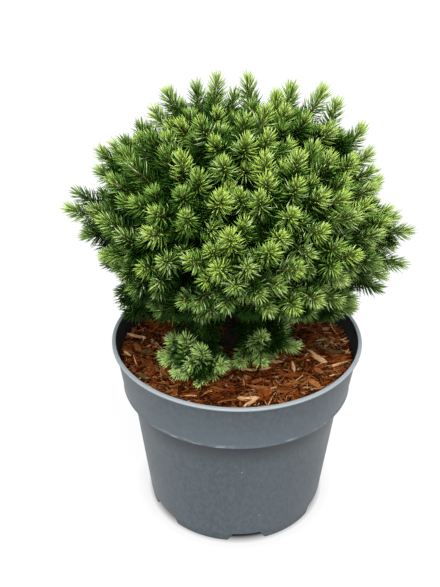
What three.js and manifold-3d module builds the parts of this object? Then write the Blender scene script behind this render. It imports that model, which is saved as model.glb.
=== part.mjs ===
// A dwarf globe white spruce in its nursery pot, in millimetres, +Z up, the pot's foot on z = 0.
//
// The pot is a thin moulded shell with a deep collar, a rolled lip and a notched foot. It is filled
// with potting soil and a layer of bark mulch. A short trunk stands on the mulch and forks into
// tapering boughs, and each bough carries one dense mass of foliage. A mass is one solid: a stem, a
// smaller core, and twigs that fan out through the core and end in toothed shoots, the tooth being
// a bundle of needles. The masses share out the crown by direction from its centre, so that each
// keeps to its own wedge of it.
//
// Azimuths are in degrees round +Z from +X, so the front of the plant, -Y, is at 270.
import * as THREE from "three";
import { mergeVertices } from "three/addons/utils/BufferGeometryUtils.js";
import Module from "manifold-3d";

const wasm = await Module();
wasm.setup();

// Pot
const RIM_RADIUS = 108;
const POT_HEIGHT = 168;
const COLLAR_FOOT_RADIUS = 100;
const COLLAR_FOOT_Z = 121.5;
const BODY_TOP_RADIUS = 92.7;
const FOOT_RADIUS = 81;
const FOOT_BAND_HEIGHT = 8;
const FOOT_BAND_INSET = 1.2;
const WALL = 2;
const LIP_WIDTH = 3.2;
const LIP_HEIGHT = 2.8;
const FLOOR_Z = 8;
const FLOOR_THICKNESS = 2;
const NOTCH_COUNT = 6;
const NOTCH_FOOT_WIDTH = 34;
const NOTCH_TOP_WIDTH = 24;
const NOTCH_HEIGHT = 8;
const FIRST_NOTCH_AZIMUTH = 276.5;
const DRAIN_RADIUS = 5;
const DRAIN_RING_RADIUS = 62;
const POT_SIDES = 42;

// Filling
const MULCH_TOP_Z = 157;
const MULCH_THICKNESS = 18;
const MULCH_EDGE_DROP = 6;
const MULCH_BUMP = 1.3;
const CLEARANCE = 0.3;

// Trunk
const TRUNK_FOOT_RADIUS = 14;
const TRUNK_RADIUS = 9.5;
const TRUNK_TIP_RADIUS = 4.5;
const TRUNK_TIP_Z = 290;
const TRUNK_FLARE_HEIGHT = 14;
const TRUNK_LEAN = [5, 3];
const TRUNK_SIDES = 10;

// Crown
const CROWN_CENTRE = new THREE.Vector3(0, 0, 262);
const BOUGH_FOOT_RADIUS = 2.9;
const BOUGH_TIP_RADIUS = 2;
const BOUGH_SIDES = 6;
const STEM_LENGTH = 32;
const CORE_NEAR = 2.5;
const CORE_FAR_SHARE = 0.79;
const CORE_HALF_WIDTH = 60;
const CORE_SIDES = 8;
const CORE_RINGS = [[-0.75, 0.45], [0.05, 1], [0.75, 0.75]];
const TRUNK_CLEAR_RADIUS = 19;
const WEDGE_GAP = 0.3;
const REACH_BLEND = 30;
const REACH_JITTER = 0.09;
const LATTICE_POINTS = 188;
const LATTICE_TURN = 40;
const SEED = 7;
const LEADER_ROOM = 8;
const UPTURN = 1.2;
const SHOOT_LENGTH = 27;
const SHOOT_RINGS = 3;
const SHOOT_TEETH = 2;
const TWIG_RADIUS = 3;
const NEEDLE_SPREAD = 12.5;
const NEEDLE_LEAN = 6;
const LOWEST_NEEDLE_Z = 160;
const RIM_CLEAR_Z = POT_HEIGHT + 1.5;
const RIM_CLEAR_RADIUS = 90;
const UNDERSIDE_Z = 182;
const UNDERSIDE_RISE = 0.6;
const UNDERSIDE_STEEPEST = -0.75;

// The boughs by tier, each [azimuth, elevation from the crown's centre, reach of its foliage].
// attach is the height on the trunk where the tier's boughs leave it, foot the distance from the
// centre at which each ends in its mass, and spread how far in degrees a shoot may stand from it.
const TIERS = [
  {
    name: "top",
    attach: 274,
    foot: 46,
    spread: 40,
    boughs: [[20, 68, 116], [150, 70, 114], [262, 72, 119]],
  },
  {
    name: "upper",
    attach: 262,
    foot: 46,
    spread: 40,
    boughs: [
      [12, 38, 126], [62, 36, 129], [112, 36, 129],
      [166, 34, 126], [232, 38, 127], [300, 38, 127],
    ],
  },
  {
    name: "middle",
    attach: 240,
    foot: 46,
    spread: 40,
    boughs: [
      [358, 3, 134], [42, 6, 130], [90, 6, 127], [135, 6, 129],
      [178, 6, 130], [226, 6, 126], [270, 6, 126], [316, 6, 128],
    ],
  },
  {
    name: "lower",
    attach: 222,
    foot: 46,
    spread: 22,
    boughs: [
      [10, -20, 122], [58, -20, 122], [103, -20, 120], [150, -20, 116],
      [196, -17, 108], [248, -16, 110], [305, -16, 112],
    ],
  },
  {
    name: "skirt",
    attach: 204,
    foot: 62,
    spread: 15,
    boughs: [[200, -38, 114], [231, -56, 120], [313, -66, 106], [338, -37, 108]],
  },
];

// The shoots that the front view shows, each [azimuth, elevation, reach]: first those of the outline,
// from the left side over the top to the right side and below, then those that face the viewer, from
// the top down, and last those of the two low sprays.
const LEADERS = [
  [183, 18, 136], [186, 13, 140], [188, 4, 126], [192, -4, 112], [194, -9, 105], [198, -19, 109],
  [203, -22, 110], [206, -26, 118], [177, 27, 125], [173, 32, 131], [173, 37, 125], [168, 39, 121],
  [163, 47, 120], [158, 54, 122], [150, 60, 129], [131, 66, 126], [115, 71, 128], [97, 74, 115],
  [79, 72, 127], [44, 69, 118], [45, 62, 128], [28, 56, 136], [19, 52, 133], [11, 41, 132], [7, 33, 126],
  [0, 29, 121], [2, 23, 122], [357, 12, 125], [351, 12, 129], [353, 5, 139], [347, 2, 126],
  [344, -3, 136], [340, -12, 124], [336, -23, 112], [332, -26, 113], [209, 53, 124], [202, 43, 126],
  [228, 50, 124], [238, 50, 124], [261, 50, 125], [273, 58, 125], [288, 60, 124], [282, 51, 126],
  [281, 44, 126], [300, 50, 126], [212, 42, 124], [203, 33, 124], [251, 44, 128], [245, 38, 124],
  [262, 38, 128], [277, 38, 127], [294, 41, 126], [304, 36, 125], [314, 33, 125], [236, 30, 126],
  [249, 31, 126], [289, 32, 126], [211, 20, 126], [222, 18, 124], [236, 23, 126], [266, 26, 129],
  [300, 25, 126], [284, 25, 124], [243, 15, 126], [252, 17, 123], [262, 15, 125], [272, 16, 126],
  [280, 21, 127], [289, 14, 126], [294, 18, 123], [306, 18, 125], [234, 10, 123], [240, 6, 122],
  [268, 9, 123], [276, 5, 120], [255, 0, 119], [265, 0, 119], [259, -8, 114], [290, -3, 117],
  [299, -2, 118], [310, -6, 116], [328, 15, 126], [224, 31, 122], [235, 66, 122], [219, 56, 122],
  [275, 70, 121], [342, 64, 118], [319, 47, 124], [321, 38, 122], [333, 25, 119], [316, 26, 127],
  [313, 13, 126], [325, 6, 127], [259, 21, 121], [271, 30, 120], [269, 40, 120], [219, 0, 112],
  [243, -54, 124], [225, -52, 124], [209, -51, 119], [254, -65, 110], [241, -61, 108], [216, -58, 106],
  [306, -66, 106], [340, -65, 104], [320, -67, 108], [282, -71, 99],
];

const MATERIALS = {
  pot: new THREE.MeshStandardMaterial({ color: 0x5c646b, roughness: 0.62, metalness: 0 }),
  soil: new THREE.MeshStandardMaterial({ color: 0x2a1a12, roughness: 0.95, metalness: 0 }),
  mulch: new THREE.MeshStandardMaterial({ color: 0x6b3a20, roughness: 0.9, metalness: 0 }),
  bark: new THREE.MeshStandardMaterial({ color: 0x6a4a30, roughness: 0.9, metalness: 0 }),
  needles: new THREE.MeshStandardMaterial({ color: 0x4f8a2c, roughness: 0.55, metalness: 0 }),
};

const part = new THREE.Group();

function add(name, geometry, material) {
  const mesh = new THREE.Mesh(geometry, material);
  mesh.name = name;
  part.add(mesh);
}

// A closed geometry as a solid that can be joined and cut.
function solidOf(geometry) {
  const bare = geometry.clone();
  bare.deleteAttribute("normal");
  bare.deleteAttribute("uv");
  const merged = mergeVertices(bare, 1e-4);
  return new wasm.Manifold(
    new wasm.Mesh({
      numProp: 3,
      vertProperties: new Float32Array(merged.attributes.position.array),
      triVerts: new Uint32Array(merged.index.array),
    }),
  );
}

function geometryOf(solid) {
  const mesh = solid.getMesh();
  const geometry = new THREE.BufferGeometry();
  geometry.setAttribute("position", new THREE.BufferAttribute(mesh.vertProperties, 3));
  geometry.setIndex(new THREE.BufferAttribute(mesh.triVerts, 1));
  geometry.computeVertexNormals();
  return geometry;
}

function geometryFrom(points, faces) {
  const geometry = new THREE.BufferGeometry();
  const positions = new Float32Array(points.flatMap((p) => [p.x, p.y, p.z]));
  geometry.setAttribute("position", new THREE.BufferAttribute(positions, 3));
  geometry.setIndex(faces.flat());
  return geometry;
}

// Numbers from 0 to 1 that are the same on every run, from a linear congruential generator.
function seeded(seed) {
  let state = seed;
  return () => {
    state = (Math.imul(state, 1664525) + 1013904223) >>> 0;
    return state / 4294967296;
  };
}

// The unit vector at an azimuth and an elevation, in degrees.
function direction(azimuth, elevation) {
  const a = THREE.MathUtils.degToRad(azimuth);
  const e = THREE.MathUtils.degToRad(elevation);
  return new THREE.Vector3(Math.cos(a) * Math.cos(e), Math.sin(a) * Math.cos(e), Math.sin(e));
}

// Two unit vectors square to an axis and to each other.
function acrossAxis(axis) {
  const helper = Math.abs(axis.z) < 0.9 ? new THREE.Vector3(0, 0, 1) : new THREE.Vector3(1, 0, 0);
  const u = new THREE.Vector3().crossVectors(helper, axis).normalize();
  const v = new THREE.Vector3().crossVectors(axis, u);
  return [u, v];
}

// Joins rings of equal counts of points, with a pole at each end, as one closed surface.
function skin(firstPole, rings, lastPole) {
  const count = rings[0].length;
  const points = [firstPole, ...rings.flat(), lastPole];
  const faces = [];
  const last = points.length - 1;
  for (let j = 0; j < count; j++) {
    const k = (j + 1) % count;
    faces.push([0, 1 + k, 1 + j]);
    faces.push([last, last - count + j, last - count + k]);
    for (let i = 0; i < rings.length - 1; i++) {
      const low = 1 + i * count;
      const high = low + count;
      faces.push([low + j, low + k, high + k], [low + j, high + k, high + j]);
    }
  }
  return geometryFrom(points, faces);
}

// A limb with flat ends along a row of points, with a radius at each point.
function limb(points, radii, sides) {
  const rings = points.map((point, i) => {
    const before = points[Math.max(i - 1, 0)];
    const after = points[Math.min(i + 1, points.length - 1)];
    const [u, v] = acrossAxis(after.clone().sub(before).normalize());
    return Array.from({ length: sides }, (_, j) => {
      const angle = (2 * Math.PI * j) / sides;
      return point
        .clone()
        .addScaledVector(u, radii[i] * Math.cos(angle))
        .addScaledVector(v, radii[i] * Math.sin(angle));
    });
  });
  return skin(points[0], rings, points[points.length - 1]);
}

// The pot: one closed profile turned round +Z, then the notches and the drain holes cut away.
function makePot() {
  const bandRadius = FOOT_RADIUS - FOOT_BAND_INSET;
  const taper = (COLLAR_FOOT_RADIUS - RIM_RADIUS) / (POT_HEIGHT - COLLAR_FOOT_Z);
  const lipFootRadius = RIM_RADIUS - LIP_WIDTH / 2 + taper * LIP_HEIGHT;
  const floorTopZ = FLOOR_Z + FLOOR_THICKNESS;
  const step = COLLAR_FOOT_RADIUS - BODY_TOP_RADIUS;
  const outside = [
    [bandRadius, 0],
    [bandRadius + 0.4, FOOT_BAND_HEIGHT - 1],
    [FOOT_RADIUS, FOOT_BAND_HEIGHT],
    [BODY_TOP_RADIUS, COLLAR_FOOT_Z - step / 2],
    [COLLAR_FOOT_RADIUS - step / 3, COLLAR_FOOT_Z],
    [COLLAR_FOOT_RADIUS + 0.2, COLLAR_FOOT_Z + step / 2],
    [lipFootRadius, POT_HEIGHT - LIP_HEIGHT],
    [RIM_RADIUS, POT_HEIGHT - LIP_HEIGHT + 0.4],
    [RIM_RADIUS, POT_HEIGHT - 0.5],
    [RIM_RADIUS - 0.6, POT_HEIGHT],
    [RIM_RADIUS - LIP_WIDTH, POT_HEIGHT - 0.4],
  ];
  const inside = [
    [COLLAR_FOOT_RADIUS - WALL, COLLAR_FOOT_Z + step / 2],
    [BODY_TOP_RADIUS - WALL, COLLAR_FOOT_Z - step / 2],
    [FOOT_RADIUS - WALL, floorTopZ],
    [0, floorTopZ],
    [0, FLOOR_Z],
    [bandRadius - WALL, FLOOR_Z],
    [bandRadius - WALL, 0],
  ];
  const profile = [...outside, ...inside, outside[0]].map(([r, z]) => new THREE.Vector2(r, z));
  const turned = new THREE.LatheGeometry(profile, POT_SIDES).rotateX(Math.PI / 2);
  let pot = solidOf(turned);
  for (let i = 0; i < NOTCH_COUNT; i++) {
    const azimuth = THREE.MathUtils.degToRad(FIRST_NOTCH_AZIMUTH + (360 * i) / NOTCH_COUNT);
    pot = pot.subtract(solidOf(makeNotch(azimuth))).subtract(solidOf(makeDrain(azimuth)));
  }
  return geometryOf(pot);
}

// A wedge with sloping sides that runs out through the foot at an azimuth.
function makeNotch(azimuth) {
  const under = 2;
  const slope = (NOTCH_FOOT_WIDTH - NOTCH_TOP_WIDTH) / 2 / NOTCH_HEIGHT;
  const halfFoot = NOTCH_FOOT_WIDTH / 2 + slope * under;
  const shape = new THREE.Shape([
    new THREE.Vector2(-halfFoot, -under),
    new THREE.Vector2(halfFoot, -under),
    new THREE.Vector2(NOTCH_TOP_WIDTH / 2, NOTCH_HEIGHT),
    new THREE.Vector2(-NOTCH_TOP_WIDTH / 2, NOTCH_HEIGHT),
  ]);
  const depth = 20;
  return new THREE.ExtrudeGeometry(shape, { depth, bevelEnabled: false })
    .rotateX(Math.PI / 2)
    .translate(0, FOOT_RADIUS + depth / 2, 0)
    .rotateZ(azimuth - Math.PI / 2);
}

function makeDrain(azimuth) {
  return new THREE.CylinderGeometry(DRAIN_RADIUS, DRAIN_RADIUS, FLOOR_THICKNESS * 3, 12)
    .rotateX(Math.PI / 2)
    .translate(DRAIN_RING_RADIUS, 0, FLOOR_Z + FLOOR_THICKNESS / 2)
    .rotateZ(azimuth);
}

// The inside radius of the pot's body at a height, less the clearance of the filling.
function fillRadius(z) {
  const step = COLLAR_FOOT_RADIUS - BODY_TOP_RADIUS;
  const knee = COLLAR_FOOT_Z - step / 2;
  const shoulder = COLLAR_FOOT_Z + step / 2;
  const floorTopZ = FLOOR_Z + FLOOR_THICKNESS;
  const between = (from, to, share) => from + (to - from) * share;
  let radius;
  if (z < knee) {
    radius = between(FOOT_RADIUS, BODY_TOP_RADIUS, (z - floorTopZ) / (knee - floorTopZ));
  } else if (z < shoulder) {
    radius = between(BODY_TOP_RADIUS, COLLAR_FOOT_RADIUS, (z - knee) / step);
  } else {
    const full = POT_HEIGHT - shoulder;
    radius = between(COLLAR_FOOT_RADIUS, RIM_RADIUS - LIP_WIDTH + WALL, (z - shoulder) / full);
  }
  return radius - WALL - 2 * CLEARANCE;
}

function turnedFilling(heights, topPoints) {
  const profile = [
    [0, heights[0]],
    ...heights.map((z) => [fillRadius(z), z]),
    ...topPoints,
  ].map(([r, z]) => new THREE.Vector2(r, z));
  return new THREE.LatheGeometry(profile, POT_SIDES).rotateX(Math.PI / 2);
}

function makeSoil() {
  const step = COLLAR_FOOT_RADIUS - BODY_TOP_RADIUS;
  const bottomZ = FLOOR_Z + FLOOR_THICKNESS + CLEARANCE;
  const topZ = MULCH_TOP_Z - MULCH_THICKNESS;
  const heights = [bottomZ, COLLAR_FOOT_Z - step / 2, COLLAR_FOOT_Z + step / 2, topZ];
  return turnedFilling(heights, [[0, topZ]]);
}

// The mulch is level under the trunk and falls to the wall, with low bumps between.
function makeMulch() {
  const bottomZ = MULCH_TOP_Z - MULCH_THICKNESS + CLEARANCE;
  const edgeZ = MULCH_TOP_Z - MULCH_EDGE_DROP;
  const levelRadius = TRUNK_FOOT_RADIUS + 8;
  const edgeRadius = fillRadius(edgeZ);
  const top = [0.8, 0.6, 0.4, 0.2].map((share) => {
    const radius = levelRadius + (edgeRadius - levelRadius) * share;
    return [radius, MULCH_TOP_Z - MULCH_EDGE_DROP * share * share];
  });
  top.push([levelRadius, MULCH_TOP_Z], [0, MULCH_TOP_Z]);
  const geometry = turnedFilling([bottomZ, edgeZ], top);
  const place = geometry.attributes.position;
  for (let i = 0; i < place.count; i++) {
    const [x, y, z] = [place.getX(i), place.getY(i), place.getZ(i)];
    const radius = Math.hypot(x, y);
    const onTop = z > edgeZ + 0.1 && radius > levelRadius + 1;
    if (onTop) {
      const bump = Math.sin(x * 0.11 + 1) * Math.cos(y * 0.13) + 0.5 * Math.sin((x - y) * 0.21);
      place.setZ(i, z + MULCH_BUMP * bump);
    }
  }
  return geometry;
}

// The middle line of the trunk at a height: it leans a little and bows.
function trunkLine(z) {
  const share = (z - MULCH_TOP_Z) / (TRUNK_TIP_Z - MULCH_TOP_Z);
  const bow = 2.5 * Math.sin(Math.PI * share);
  return new THREE.Vector3(TRUNK_LEAN[0] * share * share - bow, TRUNK_LEAN[1] * share, z);
}

// Straight taper above the flare, which widens as the square of the way down to the mulch.
function trunkRadius(z) {
  const share = (z - MULCH_TOP_Z) / (TRUNK_TIP_Z - MULCH_TOP_Z);
  const flare = Math.max(0, 1 - (z - MULCH_TOP_Z) / TRUNK_FLARE_HEIGHT);
  const straight = TRUNK_RADIUS + (TRUNK_TIP_RADIUS - TRUNK_RADIUS) * share;
  return straight + (TRUNK_FOOT_RADIUS - TRUNK_RADIUS) * flare * flare;
}

// Level rings round the middle line, so that the trunk's foot lies flat.
function makeTrunk(extra = 0) {
  const foot = MULCH_TOP_Z + CLEARANCE;
  const flare = [0, 4, 9, TRUNK_FLARE_HEIGHT].map((up) => foot + up);
  const heights = [...flare, 190, 215, 240, 265, TRUNK_TIP_Z];
  const rings = heights.map((z) => {
    const centre = trunkLine(z);
    const radius = trunkRadius(z) + extra;
    return Array.from({ length: TRUNK_SIDES }, (_, j) => {
      const angle = (2 * Math.PI * j) / TRUNK_SIDES;
      const out = new THREE.Vector3(Math.cos(angle), Math.sin(angle), 0);
      return centre.clone().addScaledVector(out, radius);
    });
  });
  return skin(trunkLine(foot), rings, trunkLine(TRUNK_TIP_Z));
}

// One bough from inside the trunk, which is then cut clear of it, rising to the foot of its mass.
function makeBough(bough, trunkSpace) {
  const start = trunkLine(bough.attach);
  const end = CROWN_CENTRE.clone().addScaledVector(bough.axis, bough.foot);
  const span = end.clone().sub(start);
  const middle = start.clone().addScaledVector(span, 0.55);
  middle.z -= 0.08 * span.length() * Math.cos(Math.asin(span.z / span.length()));
  const middleRadius = (BOUGH_FOOT_RADIUS + BOUGH_TIP_RADIUS) / 2;
  const beforeEnd = end.clone().addScaledVector(bough.axis, -BOUGH_TIP_RADIUS * 2);
  const radii = [BOUGH_FOOT_RADIUS, middleRadius, BOUGH_TIP_RADIUS, BOUGH_TIP_RADIUS];
  const whole = solidOf(limb([start, middle, beforeEnd, end], radii, BOUGH_SIDES));
  return geometryOf(whole.subtract(trunkSpace));
}

// Half spaces that a bough's foliage keeps to, each { normal, most }: point . normal stays under
// most. They lie midway to every other bough's axis, clear of the trunk, and above the mulch and
// the pot's rim. The crown's underside rises towards the front, and only the steep low sprays
// hang below it.
function wedgeOf(bough, boughs) {
  const planes = boughs
    .filter((other) => other !== bough)
    .map((other) => {
      const normal = other.axis.clone().sub(bough.axis).normalize();
      return { normal, most: normal.dot(CROWN_CENTRE) - WEDGE_GAP };
    });
  if (bough.axis.z < 0.5) {
    const inward = new THREE.Vector3(-bough.axis.x, -bough.axis.y, 0).normalize();
    planes.push({ normal: inward, most: -TRUNK_CLEAR_RADIUS });
  }
  const down = new THREE.Vector3(0, 0, -1);
  const reachOut = bough.reach * Math.hypot(bough.axis.x, bough.axis.y);
  const lowest = reachOut > RIM_CLEAR_RADIUS ? RIM_CLEAR_Z : LOWEST_NEEDLE_Z;
  planes.push({ normal: down, most: -lowest });
  if (bough.axis.z > UNDERSIDE_STEEPEST) {
    const length = Math.hypot(UNDERSIDE_RISE, 1);
    const normal = new THREE.Vector3(0, -UNDERSIDE_RISE, -1).divideScalar(length);
    planes.push({ normal, most: -UNDERSIDE_Z / length });
  }
  return planes;
}

// Pulls a point back towards an inner one, so far that it lies in all the half spaces.
function pullIn(point, inner, wedge) {
  let share = 1;
  for (const { normal, most } of wedge) {
    const beyond = point.dot(normal) - most;
    const within = most - inner.dot(normal);
    if (beyond > 0) share = Math.min(share, Math.max(within, 0) / (within + beyond));
  }
  return inner.clone().lerp(point, share);
}

// The reach of the foliage towards a direction: the mean of the boughs' reaches, each counting
// the more the nearer its axis lies.
function crownReach(aim, boughs) {
  let sum = 0;
  let weights = 0;
  for (const bough of boughs) {
    const weight = Math.exp(REACH_BLEND * (aim.dot(bough.axis) - 1));
    sum += weight * bough.reach;
    weights += weight;
  }
  return sum / weights;
}

// All shoots of the crown, each { aim, reach, spin, bough }: the leaders, then an even lattice of
// directions between them, each given to the bough whose axis is nearest.
function listShoots(boughs) {
  const random = seeded(SEED);
  const shoots = LEADERS.map(([azimuth, elevation, reach]) => {
    return { aim: direction(azimuth, elevation), reach };
  });
  const room = Math.cos(THREE.MathUtils.degToRad(LEADER_ROOM));
  const golden = 180 * (3 - Math.sqrt(5));
  for (let i = 0; i < LATTICE_POINTS; i++) {
    const up = 1 - (2 * i + 1) / LATTICE_POINTS;
    const elevation = THREE.MathUtils.radToDeg(Math.asin(up)) + 3 * (random() - 0.5);
    const aim = direction(LATTICE_TURN + i * golden + 4 * (random() - 0.5), elevation);
    const reach = crownReach(aim, boughs) * (1 - REACH_JITTER * random());
    if (LEADERS.every((_, j) => shoots[j].aim.dot(aim) < room)) shoots.push({ aim, reach });
  }
  for (const shoot of shoots) {
    shoot.bough = boughs.reduce((a, b) => (b.axis.dot(shoot.aim) > a.axis.dot(shoot.aim) ? b : a));
    shoot.spin = 2 * Math.PI * random();
  }
  return shoots.filter(({ aim, bough }) => {
    return aim.dot(bough.axis) > Math.cos(THREE.MathUtils.degToRad(bough.spread));
  });
}

// A twig that ends in a shoot of needles: rings of points round its axis, in which every other
// point is the tip of a tooth that leans forward. The teeth of neighbouring rings are staggered.
// The shoots of the upper crown turn upwards.
function makeShoot(shoot, wedge) {
  const { aim, reach, spin, bough } = shoot;
  const off = THREE.MathUtils.radToDeg(Math.acos(Math.min(aim.dot(bough.axis), 1)));
  const onStem = bough.foot + STEM_LENGTH - Math.min(off, 24);
  const rootReach = Math.min(onStem, reach - SHOOT_LENGTH - 8);
  const root = CROWN_CENTRE.clone().addScaledVector(bough.axis, rootReach);
  const tip = pullIn(CROWN_CENTRE.clone().addScaledVector(aim, reach), root, wedge);
  const axis = aim.clone();
  axis.z += UPTURN * Math.max(aim.z, 0);
  axis.normalize();
  const [u, v] = acrossAxis(axis);
  const count = SHOOT_TEETH * 2;
  const pitch = Math.min(SHOOT_LENGTH, 0.8 * root.distanceTo(tip)) / SHOOT_RINGS;
  const rings = Array.from({ length: SHOOT_RINGS }, (_, i) => {
    const along = (SHOOT_RINGS - i) * pitch;
    const last = i === SHOOT_RINGS - 1;
    const spread = last ? NEEDLE_SPREAD * 0.55 : NEEDLE_SPREAD * (0.86 + 0.07 * i);
    const lean = last ? pitch : NEEDLE_LEAN;
    return Array.from({ length: count }, (_, j) => {
      const tooth = (i + j) % 2 === 1;
      const angle = spin + (2 * Math.PI * j) / count;
      const place = tip.clone().addScaledVector(axis, (tooth ? lean : 0) - along);
      const centre = pullIn(place, root, wedge);
      const radius = tooth ? spread : TWIG_RADIUS * (last ? 0.7 : 1);
      const point = centre
        .clone()
        .addScaledVector(u, radius * Math.cos(angle))
        .addScaledVector(v, radius * Math.sin(angle));
      return pullIn(point, centre, wedge);
    });
  });
  return skin(root, rings, tip.clone().addScaledVector(axis, -pitch * 0.4));
}

// The core: a blunt lump of few faces round the bough's axis, kept to its wedge. CORE_RINGS give
// the place along the axis and the width of its rings, as shares of its half depth and half width.
function makeCore(bough, wedge) {
  const near = bough.foot + CORE_NEAR;
  const far = bough.reach * CORE_FAR_SHARE;
  const halfDepth = (far - near) / 2;
  const centre = CROWN_CENTRE.clone().addScaledVector(bough.axis, near + halfDepth);
  const [u, v] = acrossAxis(bough.axis);
  const rings = CORE_RINGS.map(([along, wide]) =>
    Array.from({ length: CORE_SIDES }, (_, j) => {
      const angle = (2 * Math.PI * j) / CORE_SIDES;
      const point = centre
        .clone()
        .addScaledVector(bough.axis, along * halfDepth)
        .addScaledVector(u, wide * CORE_HALF_WIDTH * Math.cos(angle))
        .addScaledVector(v, wide * CORE_HALF_WIDTH * Math.sin(angle));
      return pullIn(point, centre, wedge);
    }),
  );
  const first = centre.clone().addScaledVector(bough.axis, -halfDepth);
  const last = centre.clone().addScaledVector(bough.axis, halfDepth);
  return skin(first, rings, last);
}

// One mass: stem, core and shoots fused. Hollows that they close in are filled, by keeping only the
// outer surface.
function makeMass(bough, boughs, shoots) {
  const wedge = wedgeOf(bough, boughs);
  const foot = CROWN_CENTRE.clone().addScaledVector(bough.axis, bough.foot + CLEARANCE);
  const end = CROWN_CENTRE.clone().addScaledVector(bough.axis, bough.foot + STEM_LENGTH);
  const stem = limb([foot, end], [BOUGH_TIP_RADIUS, BOUGH_TIP_RADIUS * 0.8], BOUGH_SIDES);
  let mass = solidOf(stem).add(solidOf(makeCore(bough, wedge)));
  for (const shoot of shoots) {
    if (shoot.bough === bough) mass = mass.add(solidOf(makeShoot(shoot, wedge)));
  }
  const surfaces = mass.decompose();
  return geometryOf(surfaces.reduce((a, b) => (b.volume() > a.volume() ? b : a)));
}

// Every bough of every tier, with its name, its unit axis and where it leaves the trunk.
function listBoughs() {
  const boughs = [];
  for (const tier of TIERS) {
    tier.boughs.forEach(([azimuth, elevation, reach], i) => {
      const stagger = i % 2 === 0 ? 5 : -5;
      boughs.push({
        name: tier.name + "_" + (i + 1),
        axis: direction(azimuth, elevation),
        reach,
        spread: tier.spread,
        foot: tier.foot,
        attach: tier.attach + stagger,
      });
    });
  }
  return boughs;
}

add("pot", makePot(), MATERIALS.pot);
add("potting_soil", makeSoil(), MATERIALS.soil);
add("bark_mulch", makeMulch(), MATERIALS.mulch);
add("trunk", makeTrunk(), MATERIALS.bark);
const trunkSpace = solidOf(makeTrunk(CLEARANCE));
const boughs = listBoughs();
const shoots = listShoots(boughs);
for (const bough of boughs) {
  add("bough_" + bough.name, makeBough(bough, trunkSpace), MATERIALS.bark);
  add("foliage_" + bough.name, makeMass(bough, boughs, shoots), MATERIALS.needles);
}

export default part;
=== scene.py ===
import math

import bpy
import numpy as np
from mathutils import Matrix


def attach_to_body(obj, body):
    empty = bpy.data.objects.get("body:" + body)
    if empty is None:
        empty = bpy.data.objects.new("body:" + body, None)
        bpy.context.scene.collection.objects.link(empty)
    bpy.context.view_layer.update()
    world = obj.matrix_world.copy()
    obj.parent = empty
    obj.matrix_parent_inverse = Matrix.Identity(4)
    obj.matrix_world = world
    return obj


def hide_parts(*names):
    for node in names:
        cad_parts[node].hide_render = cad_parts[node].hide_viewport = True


# The looks of a dwarf globe white spruce in its nursery pot. Lengths are in millimetres, as in the
# part's source, and become metres where a mesh is made. Angles are in degrees unless said.
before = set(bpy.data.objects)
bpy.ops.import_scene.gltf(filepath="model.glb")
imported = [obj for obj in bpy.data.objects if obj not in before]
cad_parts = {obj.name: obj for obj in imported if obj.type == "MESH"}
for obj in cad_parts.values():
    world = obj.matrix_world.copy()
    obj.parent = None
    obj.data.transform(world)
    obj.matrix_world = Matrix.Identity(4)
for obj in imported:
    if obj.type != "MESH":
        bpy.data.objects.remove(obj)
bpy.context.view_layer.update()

MM = 0.001
GOLDEN_ANGLE = 180 * (3 - math.sqrt(5))

# Pot, as in the part's source
RIM_RADIUS = 108
POT_HEIGHT = 168
COLLAR_FOOT_RADIUS = 100
COLLAR_FOOT_Z = 121.5
BODY_TOP_RADIUS = 92.7
FOOT_RADIUS = 81
FOOT_BAND_HEIGHT = 8
FOOT_BAND_INSET = 1.2
WALL = 2
LIP_WIDTH = 3.2
LIP_HEIGHT = 2.8
FLOOR_Z = 8
FLOOR_THICKNESS = 2
NOTCH_COUNT = 6
NOTCH_FOOT_WIDTH = 34
NOTCH_TOP_WIDTH = 24
NOTCH_HEIGHT = 8
FIRST_NOTCH_AZIMUTH = 276.5
DRAIN_RADIUS = 5
DRAIN_RING_RADIUS = 62
POT_SIDES = 480
CORNER_STEPS = 4
SHARP_CORNER = 50

# Marks on the pot, by heights in metres. The scuffs of the collar's edge start, are whole, begin to
# end and end. The collar grows paler from the first height down to the second. The painted
# highlight of the lip starts and is whole. Painted shade lies under the collar and under the lip:
# each band starts, is at its darkest, begins to end and ends, and has so much of the dark.
EDGE_SCUFFS = (0.1218, 0.1228, 0.1238, 0.1262)
COLLAR_PALING = (0.16, 0.125)
LIP_HIGHLIGHT = (0.166, 0.1667)
PAINTED_SHADE_BANDS = [(0.095, 0.1155, 0.1208, 0.1222, 1.0), (0.1625, 0.1645, 0.1652, 0.1658, 0.5)]

# Filling
MULCH_TOP_Z = 157
MULCH_THICKNESS = 18
MULCH_EDGE_DROP = 6
MULCH_BUMP = 1.3
MULCH_SIDES = 160
CLEARANCE = 0.3
BED_DEPTH = 1.5
BED_RIPPLE = 0.7
CHIP_SEED = 11

# Chips, then fibres: how many, their lengths, their width over their length, and their thickness
CHIP_SIZES = [(950, (4, 19), (0.13, 0.32), (0.7, 1.8)), (5200, (6, 24), (0.035, 0.08), (0.4, 0.85))]

# Woods of the chips: name, dark and light colour, share of all chips, and roughness
WOODS = [
    ("dark_bark", (0.014, 0.002, 0.0), (0.075, 0.017, 0.003), 0.3, 0.6),
    ("red_bark", (0.07, 0.012, 0.001), (0.34, 0.085, 0.015), 0.37, 0.55),
    ("brown_bark", (0.13, 0.038, 0.007), (0.46, 0.18, 0.055), 0.24, 0.55),
    ("weathered_wood", (0.05, 0.036, 0.012), (0.2, 0.15, 0.07), 0.025, 0.6),
    ("pale_wood", (0.42, 0.2, 0.08), (0.86, 0.58, 0.34), 0.065, 0.5),
]

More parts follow.
